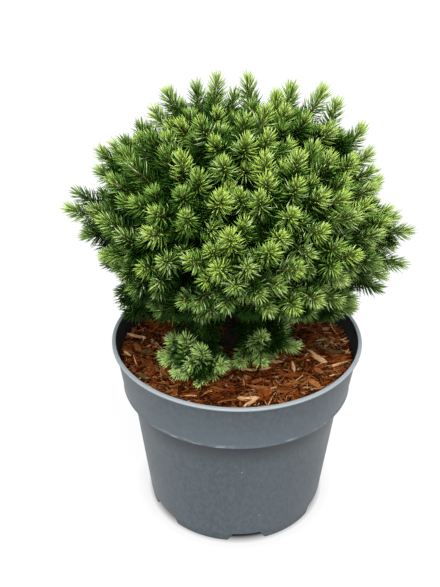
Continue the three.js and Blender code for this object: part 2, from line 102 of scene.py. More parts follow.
# The larger chips that the front view shows: wood, place, turn, length and width. They lie on top
# of the others, their middles so far above the mulch.
MARKED_CHIP_RISE = 2.1
MARKED_CHIP_THICKNESS = 1.6
MARKED_CHIP_TUMBLE = 0.3
MARKED_CHIPS = [
    ("pale_wood", 69, -21, 126, 23, 6), ("weathered_wood", 81, -10, 149, 22, 5),
    ("pale_wood", 86, -29, 25, 18, 2), ("pale_wood", 9, -43, 165, 12, 4),
    ("brown_bark", 21, -37, 13, 12, 3), ("brown_bark", 46, -58, 19, 28, 3.2),
    ("brown_bark", 62, -57, 134, 13, 6), ("pale_wood", 8, -77, 176, 18, 4.5),
    ("pale_wood", 9, -83, 40, 14, 3.5), ("brown_bark", 15, -64, 173, 19, 3),
    ("red_bark", 22, -70, 129, 11, 7), ("pale_wood", -88, 14, 160, 18, 3),
    ("brown_bark", -86, -5, 114, 19, 6), ("weathered_wood", -79, -44, 135, 19, 5),
    ("weathered_wood", -79, -11, 162, 17, 3.5), ("brown_bark", 68, -40, 134, 11, 4),
    ("red_bark", 66, 3, 63, 18, 5), ("pale_wood", 47, -37, 95, 14, 2.5),
]

# Trunk and boughs. The boughs of a tier leave the trunk a little above and below its height. The
# more degrees a branch aims off its bough's axis, up to OFF_AXIS_MOST, the lower on the stem it
# starts, and always ROOT_ROOM inside its own shoot.
TRUNK_FOOT_RADIUS = 14
TRUNK_RADIUS = 9.5
TRUNK_TIP_RADIUS = 4.5
TRUNK_TIP_Z = 290
TRUNK_FLARE_HEIGHT = 14
TRUNK_LEAN = (5, 3)
TRUNK_BOW = 2.5
TRUNK_RELIEF = 0.5
ROOT_FLARES = 0.8
BOUGH_FOOT_RADIUS = 2.9
BOUGH_TIP_RADIUS = 2
BOUGH_RELIEF = 0.22
STEM_RELIEF = 0.16
STEM_LENGTH = 32
BOUGH_STAGGER = 5
OFF_AXIS_MOST = 24
ROOT_ROOM = 8

# Crown
CROWN_CENTRE = np.array([0.0, 0.0, 262.0])
TRUNK_CLEAR_RADIUS = 19
REACH_BLEND = 30
REACH_JITTER = 0.09
LATTICE_POINTS = 188
LATTICE_TURN = 40
SEED = 7
LEADER_ROOM = 8
UPTURN = 1.2
SHOOT_LENGTH = 27
LOWEST_NEEDLE_Z = 160
RIM_CLEAR_Z = POT_HEIGHT + 1.5
RIM_CLEAR_RADIUS = 90
UNDERSIDE_Z = 182
UNDERSIDE_RISE = 0.6
UNDERSIDE_STEEPEST = -0.75

# The boughs by tier: name, height on the trunk, distance of the foot of the mass from the crown's
# centre, widest angle of a shoot from its bough, and each bough's azimuth, elevation and reach.
TIERS = [
    ("top", 274, 46, 40, [(20, 68, 116), (150, 70, 114), (262, 72, 119)]),
    ("upper", 262, 46, 40, [
        (12, 38, 126), (62, 36, 129), (112, 36, 129), (166, 34, 126), (232, 38, 127), (300, 38, 127),
    ]),
    ("middle", 240, 46, 40, [
        (358, 3, 134), (42, 6, 130), (90, 6, 127), (135, 6, 129),
        (178, 6, 130), (226, 6, 126), (270, 6, 126), (316, 6, 128),
    ]),
    ("lower", 222, 46, 22, [
        (10, -20, 122), (58, -20, 122), (103, -20, 120), (150, -20, 116),
        (196, -17, 108), (248, -16, 110), (305, -16, 112),
    ]),
    ("skirt", 204, 62, 15, [(200, -38, 114), (231, -56, 120), (313, -66, 106), (338, -37, 108)]),
]

# The shoots that the front view shows, each azimuth, elevation and reach: first those of the
# outline, from the left side over the top to the right side and below, then those that face the
# viewer, from the top down, and last those of the two low sprays.
LEADERS = [
    (183, 18, 136), (186, 13, 140), (188, 4, 126), (192, -4, 112), (194, -9, 105), (198, -19, 109),
    (203, -22, 110), (206, -26, 118), (177, 27, 125), (173, 32, 131), (173, 37, 125), (168, 39, 121),
    (163, 47, 120), (158, 54, 122), (150, 60, 129), (131, 66, 126), (115, 71, 128), (97, 74, 115),
    (79, 72, 127), (44, 69, 118), (45, 62, 128), (28, 56, 136), (19, 52, 133), (11, 41, 132),
    (7, 33, 126), (0, 29, 121), (2, 23, 122), (357, 12, 125), (351, 12, 129), (353, 5, 139),
    (347, 2, 126), (344, -3, 136), (340, -12, 124), (336, -23, 112), (332, -26, 113), (209, 53, 124),
    (202, 43, 126), (228, 50, 124), (238, 50, 124), (261, 50, 125), (273, 58, 125), (288, 60, 124),
    (282, 51, 126), (281, 44, 126), (300, 50, 126), (212, 42, 124), (203, 33, 124), (251, 44, 128),
    (245, 38, 124), (262, 38, 128), (277, 38, 127), (294, 41, 126), (304, 36, 125), (314, 33, 125),
    (236, 30, 126), (249, 31, 126), (289, 32, 126), (211, 20, 126), (222, 18, 124), (236, 23, 126),
    (266, 26, 129), (300, 25, 126), (284, 25, 124), (243, 15, 126), (252, 17, 123), (262, 15, 125),
    (272, 16, 126), (280, 21, 127), (289, 14, 126), (294, 18, 123), (306, 18, 125), (234, 10, 123),
    (240, 6, 122), (268, 9, 123), (276, 5, 120), (255, 0, 119), (265, 0, 119), (259, -8, 114),
    (290, -3, 117), (299, -2, 118), (310, -6, 116), (328, 15, 126), (224, 31, 122), (235, 66, 122),
    (219, 56, 122), (275, 70, 121), (342, 64, 118), (319, 47, 124), (321, 38, 122), (333, 25, 119),
    (316, 26, 127), (313, 13, 126), (325, 6, 127), (259, 21, 121), (271, 30, 120), (269, 40, 120),
    (219, 0, 112), (243, -54, 124), (225, -52, 124), (209, -51, 119), (254, -65, 110), (241, -61, 108),
    (216, -58, 106), (306, -66, 106), (340, -65, 104), (320, -67, 108), (282, -71, 99),
]

# Finer growth, which only this script has. The side leaders are the side shoots of the low sprays
# that the front view shows, each azimuth, elevation and reach.
SIDE_LEADERS = [
    (231, -53, 119), (217, -50, 120), (236, -58, 98), (252, -64, 106), (248, -58, 116), (273, -62, 103),
    (237, -48, 112),
]
FINE_LATTICE_POINTS = 2600
SIDE_SHORTER = (4, 15)
SIDE_SPREAD = 4
SIDE_STARTS = (0.34, 0.56)
TIP_ROOM = 16.5
LOW_UPTURN = 1.4
CURVE_PULL = 0.35
NEEDLE_OVERHANG = 5
NEEDLE_ROOM = 6

# Twigs and buds. The inner twigs grow on branches, boughs and their stems, so many on each and from
# one share of it to another. On low sprays beyond LOW_TWIG_REACH of the crown's centre they are
# half as long.
TWIG_FOOT_RADIUS = 1.5
TWIG_TIP_RADIUS = 0.75
INNER_TWIG_RADIUS = 0.9
BRANCH_TWIGS = 2
BOUGH_TWIGS = 12
STEM_TWIGS = 6
BRANCH_TWIG_SHARES = (0.04, 0.36)
BOUGH_TWIG_SHARES = (0.35, 1)
STEM_TWIG_SHARES = (0, 0.9)
INNER_TWIG_LENGTHS = (15, 26)
LOW_TWIG_REACH = 85
YOUNG_STEM_START = 0.66
YOUNG_STEM_RADII = np.array([0.98, 0.93, 0.88, 0.85])
BUD_RADII = np.array([0.6, 1.15, 1.0, 0.25])

# Needles. The young ones reach back so far from a shoot's tip, but over at most a share of it, and
# the old ones lie behind those. Then: a shoot's length over its chord, how many needles there are,
# how long and wide they are, the angles that they leave a twig at, near its foot and at its end,
# how far along a needle's knee is, how much knee and tip are bent, and how many one piece may hold.
YOUNG_LENGTH = 34
OLD_LENGTH = 42
YOUNG_MOST = 0.9
CURVE_OVER_CHORD = 1.05
YOUNG_NEEDLES = 116
OLD_NEEDLES = 136
INNER_NEEDLES = 44
NEEDLE_LENGTH = 12.5
NEEDLE_WIDTH = 0.94
OLD_NEEDLE_LENGTH = 11.5
OLD_NEEDLE_WIDTH = 1.2
YOUNG_LEAN = (60, 18)
OLD_LEAN = (60, 52)
INNER_LEAN = (66, 30)
NEEDLE_KNEE = 0.66
KNEE_BEND = 0.05
TIP_BEND = 0.13
MOST_NEEDLES = 19000
MOST_SPIKES = 48000

# Kinds of spray, by the sine of their elevation from the crown's centre: high ones, give or take
# HIGH_SPREAD, those under the crown, and low ones, as are all shoots that start below
# LOW_SPRAY_TOP. The low ones' needles are shorter by a factor, and a share of them is left out.
HIGH_SPRAYS = 0.2
HIGH_SPREAD = 0.25
UNDER_SPRAYS = -0.1
LOW_SPRAYS = -0.72
LOW_SPRAY_TOP = 178
LOW_SHORTER = 0.88
LOW_THINNED = 0.15

# How pale a needle is. It starts at a base paleness and changes with the sine of its spray's
# elevation and with that sine's square, for side shoots and the sprays under the crown and low down,
# towards the back and the left, and by a spread within limits. It then grows along the shoot, with a
# spread. The changes by place and kind of spray are painted light and shade: paler higher up but
# darker again at the very top and foot, paler at the back and on the low sprays, and darker at the
# left, on the recessed side shoots and under the crown. The growth along the shoot is partly the
# young needles' paler tips and partly painted shade at the shoot's foot; the spreads are the needles'
# own.
BASE_PALENESS = 0.52
HIGHER_PALER = 0.18
TOP_AND_FOOT_DARKER = 0.185
SIDE_DARKER = 0.07
UNDER_DARKER = 0.16
LOW_PALER = 0.57
BACK_PALER = 0.07
LEFT_DARKER = 0.21
SPRAY_SPREAD = 0.13
SPRAY_LIMITS = (-0.2, 0.3)
ALONG_PALER = 0.78
ALONG_LEVEL = 0.66
NEEDLE_SPREAD = 0.09
GLINTS = 0.075

# Greens by paleness, from the darkest, with the steps between them: name, gloss, and the green and
# its paler patches, first of high sprays, which are more yellow, then of the others, which are
# greyer. On low sprays the latter is lifted by a factor in red, green and blue: painted light on
# sprays that lie in the crown's shade.
GREEN_STEPS = (0.3, 0.52, 0.7)
GREENS = [
    ("deep", 0.06, ((0.0175, 0.056, 0.006), (0.033, 0.09, 0.0115)),
     ((0.011, 0.037, 0.0052), (0.023, 0.063, 0.0105))),
    ("middle", 0.12, ((0.078, 0.167, 0.0205), (0.121, 0.234, 0.0355)),
     ((0.0744, 0.151, 0.0262), (0.116, 0.212, 0.0435))),
    ("bright", 0.22, ((0.182, 0.315, 0.048), (0.26, 0.414, 0.079)),
     ((0.17, 0.284, 0.0565), (0.244, 0.373, 0.086))),
    ("fresh", 0.25, ((0.36, 0.504, 0.084), (0.45, 0.612, 0.13)),
     ((0.328, 0.457, 0.107), (0.412, 0.555, 0.148))),
]
LOW_SPRAY_PAINTED_LIGHT = (1.43, 1.48, 1.75)

# Camera, which stands in front and looks down on the plant
CAMERA_PLACE = (-0.0145, -0.590, 0.5465)
CAMERA_PITCH = 60.1
CAMERA_LENS = 49.3

# Light. Each light has a name, the azimuth and elevation that it comes from, its width in degrees
# and its strength. The floor glows, but is shaded round the pot's foot: by two ranges of the
# distance from the pot's axis in metres, each its start and end and its least and most glow.
WORLD_STRENGTH = 0.2
FLOOR_GLOW = 0.93
FLOOR_SHADES = [(0.0745, 0.0835, 0.0, 1.0), (0.081, 0.097, 0.87 * FLOOR_GLOW, FLOOR_GLOW)]
SOFT_LIGHTS = [
    ("high_light", 288, 62, 30, 3.5),
    ("right_light", 345, 32, 60, 0.4),
    ("left_light", 200, 16, 60, 1.4),
    ("front_light", 262, 38, 40, 1.68),
]


def seeded(seed):
    """Numbers from 0 to 1 that are the same on every run, from the source's congruential rule."""
    state = seed
    while True:
        state = (state * 1664525 + 1013904223) % 2**32
        yield state / 2**32


def length_of(vectors):
    """The vectors' lengths, kept as a column."""
    return np.linalg.norm(vectors, axis=-1, keepdims=True)


def unit(vectors):
    """The vectors over their own lengths."""
    return vectors / length_of(vectors)


def dot(a, b):
    """Dot products along the last axis, kept as a column."""
    return np.sum(a * b, axis=-1, keepdims=True)


def full_turn(count):
    """So many even angles round a full turn, in radians."""
    return np.linspace(0, 2 * math.pi, count, endpoint=False)


def direction(azimuth, elevation):
    """The unit vector (cos a cos e, sin a cos e, sin e)."""
    a, e = np.radians(azimuth), np.radians(elevation)
    return np.stack([np.cos(a) * np.cos(e), np.sin(a) * np.cos(e), np.sin(e)], axis=-1)


def across_axis(axis):
    """Two unit vectors square to each axis: u = helper x axis, v = axis x u, helper being up unless
    the axis is nearly upright."""
    upright = np.abs(axis[..., 2:]) >= 0.9
    helper = np.where(upright, [1.0, 0.0, 0.0], [0.0, 0.0, 1.0])
    u = unit(np.cross(helper, axis))
    return u, np.cross(axis, u)


def repeat_faces(faces, points_each, count):
    """The faces of one shape, repeated for count shapes of points_each points."""
    return (faces[None] + points_each * np.arange(count)[:, None, None]).reshape(-1, 3)


def grid_faces(rows, columns, closed_rows=False):
    """Triangles of a grid of points whose columns run round and close; its rows may close too."""
    i = np.arange(rows if closed_rows else rows - 1)[:, None]
    j = np.arange(columns)[None]
    low, high = i * columns, (i + 1) % rows * columns
    k = (j + 1) % columns
    a, b, c, d = low + j, low + k, high + k, high + j
    return np.concatenate([np.stack([a, b, c], -1).reshape(-1, 3), np.stack([a, c, d], -1).reshape(-1, 3)])


def tube_faces(stations, sides):
    """Triangles of a tube whose points are a first pole, its rings, and a last pole."""
    j = np.arange(sides)
    k = (j + 1) % sides
    last = stations * sides + 1
    first_fan = np.stack([np.zeros_like(j), 1 + k, 1 + j], -1)
    last_fan = np.stack([np.full_like(j, last), last - sides + j, last - sides + k], -1)
    return np.concatenate([first_fan, grid_faces(stations, sides) + 1, last_fan])


def join_shapes(shapes):
    """Several shapes as one: each one's faces count on from the points of those before it."""
    starts = np.cumsum([0] + [len(points) for points, _ in shapes])
    faces = [faces + start for (_, faces), start in zip(shapes, starts)]
    return np.concatenate([points for points, _ in shapes]), np.concatenate(faces)


def add_object(name, data):
    """Puts an object with this data into the scene."""
    thing = bpy.data.objects.new(name, data)
    bpy.context.scene.collection.objects.link(thing)
    return thing


def add_piece(name, shape, materials, smooth=True, uv=None, material_index=None):
    """Makes a mesh from a shape, which is points in mm and triangles. It rides on the one body."""
    points, faces = shape
    mesh = bpy.data.meshes.new(name)
    mesh.vertices.add(len(points))
    mesh.vertices.foreach_set("co", (points * MM).astype(np.float32).ravel())
    mesh.loops.add(faces.size)
    mesh.loops.foreach_set("vertex_index", faces.astype(np.int32).ravel())
    mesh.polygons.add(len(faces))
    mesh.polygons.foreach_set("loop_start", np.arange(0, faces.size, 3, dtype=np.int32))
    mesh.polygons.foreach_set("use_smooth", np.full(len(faces), smooth))
    for material in materials:
        mesh.materials.append(material)
    if material_index is not None:
        mesh.polygons.foreach_set("material_index", material_index.astype(np.int32))
    if uv is not None:
        layer = mesh.uv_layers.new(name="grain")
        layer.data.foreach_set("uv", uv[faces.ravel()].astype(np.float32).ravel())
    mesh.update(calc_edges=True)
    piece = add_object(name, mesh)
    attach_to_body(piece, "root")
    return piece


class Look:
    """A procedural material, put together from patterns, ramps, mixes and fades."""

    def __init__(self, name, roughness, specular=0.5):
        self.material = bpy.data.materials.new(name)
        self.material.use_nodes = True
        self.nodes, self.links = self.material.node_tree.nodes, self.material.node_tree.links
        self.shader = self.nodes["Principled BSDF"]
        self.shader.inputs["Roughness"].default_value = roughness
        self.shader.inputs["Specular IOR Level"].default_value = specular
        self.place = self.add("TexCoord", {})

    def add(self, kind, inputs):
        """Adds a node, whose inputs are each fed by a socket or set to a value."""
        node = self.nodes.new("ShaderNode" + kind)
        for name, value in inputs.items():
            self.feed(node.inputs[name], value)
        return node

    def feed(self, target, value):
        """Links the target to a socket, or sets it to a value."""
        if isinstance(value, bpy.types.NodeSocket):
            self.links.new(value, target)
        else:
            target.default_value = value

    def show(self, channel, pattern):
        """Links a pattern to one of the shader's own inputs."""
        self.links.new(pattern, self.shader.inputs[channel])

    def noise(self, scale, detail, stretch=(1, 1, 1), source="Object"):
        """A noise pattern on object or UV coordinates, with its place scaled by stretch."""
        mapping = self.add("Mapping", {"Vector": self.place.outputs[source], "Scale": stretch})
        inputs = {"Vector": mapping.outputs["Vector"], "Scale": scale, "Detail": detail}
        return self.add("TexNoise", inputs).outputs["Fac"]

    def cells(self, scale):
        """A Voronoi pattern on object coordinates."""
        return self.add("TexVoronoi", {"Vector": self.place.outputs["Object"], "Scale": scale})

    def specks(self, scale, size, most):
        """Round specks at the points of a Voronoi pattern, each of that share of their spacing."""
        return self.fade(self.cells(scale).outputs["Distance"], size, size * 1.4, most, 0.0)

    def ramp(self, value, stops):
        """A ramp from place to colour: stops are (place, (red, green, blue))."""
        ramp = self.add("ValToRGB", {"Fac": value})
        elements = ramp.color_ramp.elements
        while len(elements) < len(stops):
            elements.new(0.5)
        for element, (place, colour) in zip(elements, stops):
            element.position = place
            element.color = (*colour, 1)
        return ramp.outputs["Color"]

    def mix(self, share, first, second):
        """The first pattern, and the second colour in the given share."""
        mix = self.nodes.new("ShaderNodeMix")
        mix.data_type = "RGBA"
        a, b = (next(s for s in mix.inputs if s.name == side and s.type == "RGBA") for side in "AB")
        self.feed(mix.inputs["Factor"], share)
        self.feed(a, first)
        self.feed(b, (*second, 1))
        return next(s for s in mix.outputs if s.type == "RGBA")

    def fade(self, value, low, high, to_low, to_high):
        """The value carried from one range to another and held within it."""
        ends = {"From Min": low, "From Max": high, "To Min": to_low, "To Max": to_high}
        return self.add("MapRange", {"Value": value, **ends}).outputs["Result"]

    def product(self, first, second):
        """The product of two values."""
        node = self.add("Math", {0: first, 1: second})
        node.operation = "MULTIPLY"
        return node.outputs["Value"]

    def bump(self, height, strength, distance):
        """Gives the shader a bump of a pattern's height."""
        bump = self.add("Bump", {"Height": height, "Strength": strength, "Distance": distance})
        self.show("Normal", bump.outputs["Normal"])


def pot_plastic():
    """Matt grey recycled plastic: cloudy tone, fine grain, pale and dark specks, a collar that grows
    paler towards its foot, scuffs on its edge, two bands of painted shade, under the collar and under
    the lip, and a painted highlight on the lip."""
    look = Look("pot_plastic", 0.5, 0.6)
    clouds = look.noise(14, 5)
    colour = look.ramp(clouds, [(0.32, (0.024, 0.0365, 0.0455)), (0.68, (0.039, 0.0555, 0.067))])
    mottle = look.fade(look.noise(330, 5, (1, 1, 0.6)), 0.38, 0.72, 0.0, 0.7)
    colour = look.mix(mottle, colour, (0.061, 0.08, 0.093))
    colour = look.mix(look.specks(50, 0.022, 0.7), colour, (0.4, 0.43, 0.44))
    colour = look.mix(look.specks(43, 0.026, 0.7), colour, (0.025, 0.03, 0.034))
    height = look.add("SeparateXYZ", {"Vector": look.place.outputs["Object"]}).outputs["Z"]
    collar = look.fade(height, *EDGE_SCUFFS[:2], 0.0, 1.0)
    edge = look.product(collar, look.fade(height, *EDGE_SCUFFS[2:], 1.0, 0.0))
    # The collar grows paler towards its foot
    collar_paling = look.product(collar, look.fade(height, *COLLAR_PALING, 0.0, 0.5))
    colour = look.mix(collar_paling, colour, (0.08, 0.106, 0.125))
    scuffs = look.fade(look.noise(95, 7, (1, 1, 3)), 0.54, 0.7, 0.0, 0.6)
    colour = look.mix(look.product(edge, scuffs), colour, (0.3, 0.33, 0.345))
    # Painted shade: dark bands under the collar and under the lip, where shadow falls
    for start, dark, light, end, most in PAINTED_SHADE_BANDS:
        rise, fall = look.fade(height, start, dark, 0.0, most), look.fade(height, light, end, 1.0, 0.0)
        colour = look.mix(look.product(rise, fall), colour, (0.011, 0.016, 0.019))
    # Painted highlight: the lip's top and outer edge are painted pale
    lip = look.fade(height, *LIP_HIGHLIGHT, 0.0, 1.0)
    look.show("Base Color", look.mix(lip, colour, (0.262, 0.298, 0.32)))
    look.show("Roughness", look.fade(clouds, 0.3, 0.7, 0.42, 0.56))
    look.bump(look.noise(650, 3), 0.25, 0.0004)
    return look.material


def pot_inside():
    """The same plastic, darker and duller, on the inside of the wall and on the floor."""
    look = Look("pot_plastic_darker", 0.7, 0.3)
    blotches = look.noise(40, 6)
    stops = [(0.35, (0.012, 0.014, 0.014)), (0.7, (0.035, 0.038, 0.037))]
    look.show("Base Color", look.ramp(blotches, stops))
    look.bump(blotches, 0.4, 0.0008)
    return look.material


def soil():
    """Dark crumbly potting soil."""
    look = Look("soil", 0.95, 0.05)
    crumbs = look.noise(220, 8)
    stops = [(0.3, (0.007, 0.001, 0.0002)), (0.6, (0.032, 0.009, 0.003)), (0.8, (0.06, 0.022, 0.009))]
    look.show("Base Color", look.ramp(crumbs, stops))
    look.bump(crumbs, 0.9, 0.002)
    return look.material


def chip_wood(name, dark, light, roughness):
    """Shredded bark or wood, with streaks of grain that run along each chip by its own UV map."""
    look = Look(name, roughness, 0.05)
    grain = look.noise(3, 6, (1.2, 9, 1), "UV")
    streaks = look.ramp(grain, [(0.34, dark), (0.66, light)])
    patches = look.fade(look.noise(130, 3), 0.45, 0.65, 0.0, 0.6)
    look.show("Base Color", look.mix(patches, streaks, dark))
    look.bump(grain, 0.7, 0.0012)
    return look.material


def bark(name, dark, light, scale):
    """Thin scaly conifer bark: plates of two tones with dark cracks between."""
    look = Look(name, 0.85, 0.15)
    tone = look.ramp(look.noise(scale, 6, (1, 1, 0.6)), [(0.3, dark), (0.75, light)])
    plates = look.cells(scale * 1.3)
    plates.feature = "DISTANCE_TO_EDGE"
    from_edge = plates.outputs["Distance"]
    cracks = look.fade(from_edge, 0.0, 0.12, 0.8, 0.0)
    look.show("Base Color", look.mix(cracks, tone, tuple(0.4 * c for c in dark)))
    look.bump(from_edge, 0.6, 0.001)
    return look.material


def needle_green(name, green, paler, gloss):
    """The waxy green of a spray's needles, a little paler here and there, with a dull bloom."""
    look = Look(name, 0.48, gloss)
    bloom = look.noise(260, 2)
    look.show("Base Color", look.ramp(bloom, [(0.35, green), (0.7, paler)]))
    look.show("Roughness", look.fade(bloom, 0.3, 0.7, 0.4, 0.58))
    return look.material


def rounded_outline(corners):
    """An outline with its corners rounded: corners are (r, z, rounding). Each becomes the curve
    (1-s)^2 A + 2(1-s)s corner + s^2 B, A and B lying that far along the two edges."""
    places = np.array([corner[:2] for corner in corners], float)
    rounding = np.array([corner[2] for corner in corners], float)[:, None]
    before, after = np.roll(places, 1, 0), np.roll(places, -1, 0)
    start = places + unit(before - places) * rounding
    end = places + unit(after - places) * rounding
    s = np.linspace(0, 1, CORNER_STEPS)[None, :, None]
    curve = (1 - s) ** 2 * start[:, None] + 2 * (1 - s) * s * places[:, None] + s**2 * end[:, None]
    return curve.reshape(-1, 2)


def notch_rise(angle):
    """How far the foot is cut away at an angle (radians): a trapezium over each notch's width."""
    spacing = 2 * math.pi / NOTCH_COUNT
    turn = (angle - math.radians(FIRST_NOTCH_AZIMUTH) + spacing / 2) % spacing - spacing / 2
    side = np.abs(turn) * FOOT_RADIUS
    slope = (NOTCH_FOOT_WIDTH - NOTCH_TOP_WIDTH) / 2
    return NOTCH_HEIGHT * np.clip((NOTCH_FOOT_WIDTH / 2 - side) / slope, 0, 1)


def make_pot():
    """The wall is a closed outline turned round +Z, its foot lifted into the notches. The floor is
    a slab in six sectors, each a ring of points from its drain hole out to the sector's edge."""
    band = FOOT_RADIUS - FOOT_BAND_INSET
    step = COLLAR_FOOT_RADIUS - BODY_TOP_RADIUS
    taper = (COLLAR_FOOT_RADIUS - RIM_RADIUS) / (POT_HEIGHT - COLLAR_FOOT_Z)
    body_taper = (BODY_TOP_RADIUS - FOOT_RADIUS) / (COLLAR_FOOT_Z - step / 2 - FOOT_BAND_HEIGHT)
    lip_foot = RIM_RADIUS - LIP_WIDTH / 2 + taper * LIP_HEIGHT
    floor_top = FLOOR_Z + FLOOR_THICKNESS
    outside = [
        (band, 0, 0.4),
        (band + 0.3, FOOT_BAND_HEIGHT - 1.4, 0.5),
        (FOOT_RADIUS, FOOT_BAND_HEIGHT - 0.2, 0.5),
        (FOOT_RADIUS + 2.5 * body_taper, FOOT_BAND_HEIGHT + 2.5, 0.4),
        (BODY_TOP_RADIUS, COLLAR_FOOT_Z - step / 2, 1.5),
        (COLLAR_FOOT_RADIUS - step / 3, COLLAR_FOOT_Z, 1.2),
        (COLLAR_FOOT_RADIUS + 0.6, COLLAR_FOOT_Z + 1.6, 0.8),
        (COLLAR_FOOT_RADIUS + 0.1, COLLAR_FOOT_Z + step / 2 + 1, 1.2),
        (lip_foot - 0.5, POT_HEIGHT - LIP_HEIGHT, 0.4),
        (RIM_RADIUS, POT_HEIGHT - LIP_HEIGHT + 0.2, 0.7),
        (RIM_RADIUS, POT_HEIGHT - 0.2, 0.9),
        (RIM_RADIUS - LIP_WIDTH, POT_HEIGHT, 0.5),
    ]
    inside = [
        (COLLAR_FOOT_RADIUS - WALL, COLLAR_FOOT_Z + step / 2, 1),
        (BODY_TOP_RADIUS - WALL, COLLAR_FOOT_Z - step / 2, 1),
        (FOOT_RADIUS - WALL, floor_top, 0.5),
        (band - WALL, FLOOR_Z - 1, 0.5),
        (band - WALL, 0, 0.4),
    ]
    outline = rounded_outline(outside + inside)
    angle = full_turn(POT_SIDES)[None]
    radius, height = outline[:, :1], outline[:, 1:]
    fade = np.clip(1 - height / (FOOT_BAND_HEIGHT + 1), 0, 1)
    lifted = height + notch_rise(angle) * fade
    wall = np.stack([radius * np.cos(angle), radius * np.sin(angle), lifted], -1)
    wall_faces = grid_faces(len(outline), POT_SIDES, closed_rows=True)
    is_inside = np.repeat(np.arange(len(outline)) >= CORNER_STEPS * len(outside) - 1, POT_SIDES)
    floor = make_pot_floor()
    shape = join_shapes([(wall.reshape(-1, 3), wall_faces), floor])
    is_dark = np.concatenate([np.tile(is_inside, 2), np.ones(len(floor[1]), bool)])
    pot = add_piece("nursery_pot", shape, [pot_plastic(), pot_inside()],
                    material_index=is_dark)
    pot.data.set_sharp_from_angle(angle=math.radians(SHARP_CORNER))
    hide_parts("pot")


def make_pot_floor(sides=60):
    """Six sectors round drain holes: a ray from the hole's centre at angle f meets the sector's edge
    at the nearest of its two straight sides and the floor's rim."""
    f = full_turn(sides)
    ray = np.stack([np.cos(f), np.sin(f)], -1)
    half = math.pi / NOTCH_COUNT
    centre = np.array([DRAIN_RING_RADIUS, 0.0])
    rim = FOOT_RADIUS - WALL
    along = ray @ centre
    to_rim = -along + np.sqrt(along**2 + rim**2 - centre @ centre)
    lengths = [to_rim]
    for side in (1, -1):
        normal = np.array([-math.sin(half), side * math.cos(half)])
        slant = ray @ normal
        lengths.append(np.where(slant > 1e-6, -(centre @ normal) / np.maximum(slant, 1e-6), 1e3))
    edge = np.min(lengths, axis=0)[:, None]
    outer, inner = centre + ray * edge, centre + ray * DRAIN_RADIUS
    top, bottom = FLOOR_Z + FLOOR_THICKNESS, FLOOR_Z
    rings = [(outer, bottom), (inner, bottom), (inner, top), (outer, top)]
    sector = np.stack([np.column_stack([xy, np.full(sides, z)]) for xy, z in rings])
    sectors = []
    for i in range(NOTCH_COUNT):
        turn = math.radians(FIRST_NOTCH_AZIMUTH) + 2 * math.pi * i / NOTCH_COUNT
        c, s = math.cos(turn), math.sin(turn)
        turned = sector.reshape(-1, 3) @ np.array([[c, s, 0], [-s, c, 0], [0, 0, 1]])
        sectors.append((turned, grid_faces(4, sides, closed_rows=True)))
    return join_shapes(sectors)


def wall_inside(z):
    """The inside radius of the collar at a height above its foot, less the filling's clearance."""
    shoulder = COLLAR_FOOT_Z + (COLLAR_FOOT_RADIUS - BODY_TOP_RADIUS) / 2
    share = (z - shoulder) / (POT_HEIGHT - shoulder)
    top = RIM_RADIUS - LIP_WIDTH + WALL
    return COLLAR_FOOT_RADIUS + (top - COLLAR_FOOT_RADIUS) * share - WALL - 2 * CLEARANCE


def mulch_height(x, y):
    """Level under the trunk, then falling as the square of the way to the wall, with low bumps."""
    level = TRUNK_FOOT_RADIUS + 8
    edge = wall_inside(MULCH_TOP_Z - MULCH_EDGE_DROP)
    share = np.clip((np.hypot(x, y) - level) / (edge - level), 0, 1)
    bump = np.sin(x * 0.11 + 1) * np.cos(y * 0.13) + 0.5 * np.sin((x - y) * 0.21)
    return MULCH_TOP_Z - MULCH_EDGE_DROP * share**2 + MULCH_BUMP * bump * np.minimum(share * 5, 1)


def make_mulch_bed():
    """The dark fines that the chips lie on: rings from the underside's centre, up the wall and in
    over the top, BED_DEPTH below the mulch's, with a crumbly ripple of crossed sines."""
    edge_z = MULCH_TOP_Z - MULCH_EDGE_DROP
    foot_z = MULCH_TOP_Z - MULCH_THICKNESS + CLEARANCE
    radii = np.linspace(wall_inside(edge_z), 2, 48)[:, None]
    angle = full_turn(MULCH_SIDES)[None]
    x, y = radii * np.cos(angle), radii * np.sin(angle)
    ripple = np.sin(x * 1.9 + 2 * np.sin(y * 0.7)) * np.sin(y * 2.1 + 1.5 * np.sin(x * 0.8))
    z = mulch_height(x, y) - BED_DEPTH + BED_RIPPLE * ripple
    top = np.stack([x, y, z], -1)
    foot_xy = wall_inside(foot_z) * np.stack([np.cos(angle), np.sin(angle)], -1)
    foot = np.concatenate([foot_xy, np.full((1, MULCH_SIDES, 1), foot_z)], -1)
    rings = np.concatenate([foot, top])
    poles = [[[0, 0, foot_z]], rings.reshape(-1, 3), [[0, 0, MULCH_TOP_Z - BED_DEPTH]]]
    return np.concatenate(poles), tube_faces(len(rings), MULCH_SIDES)


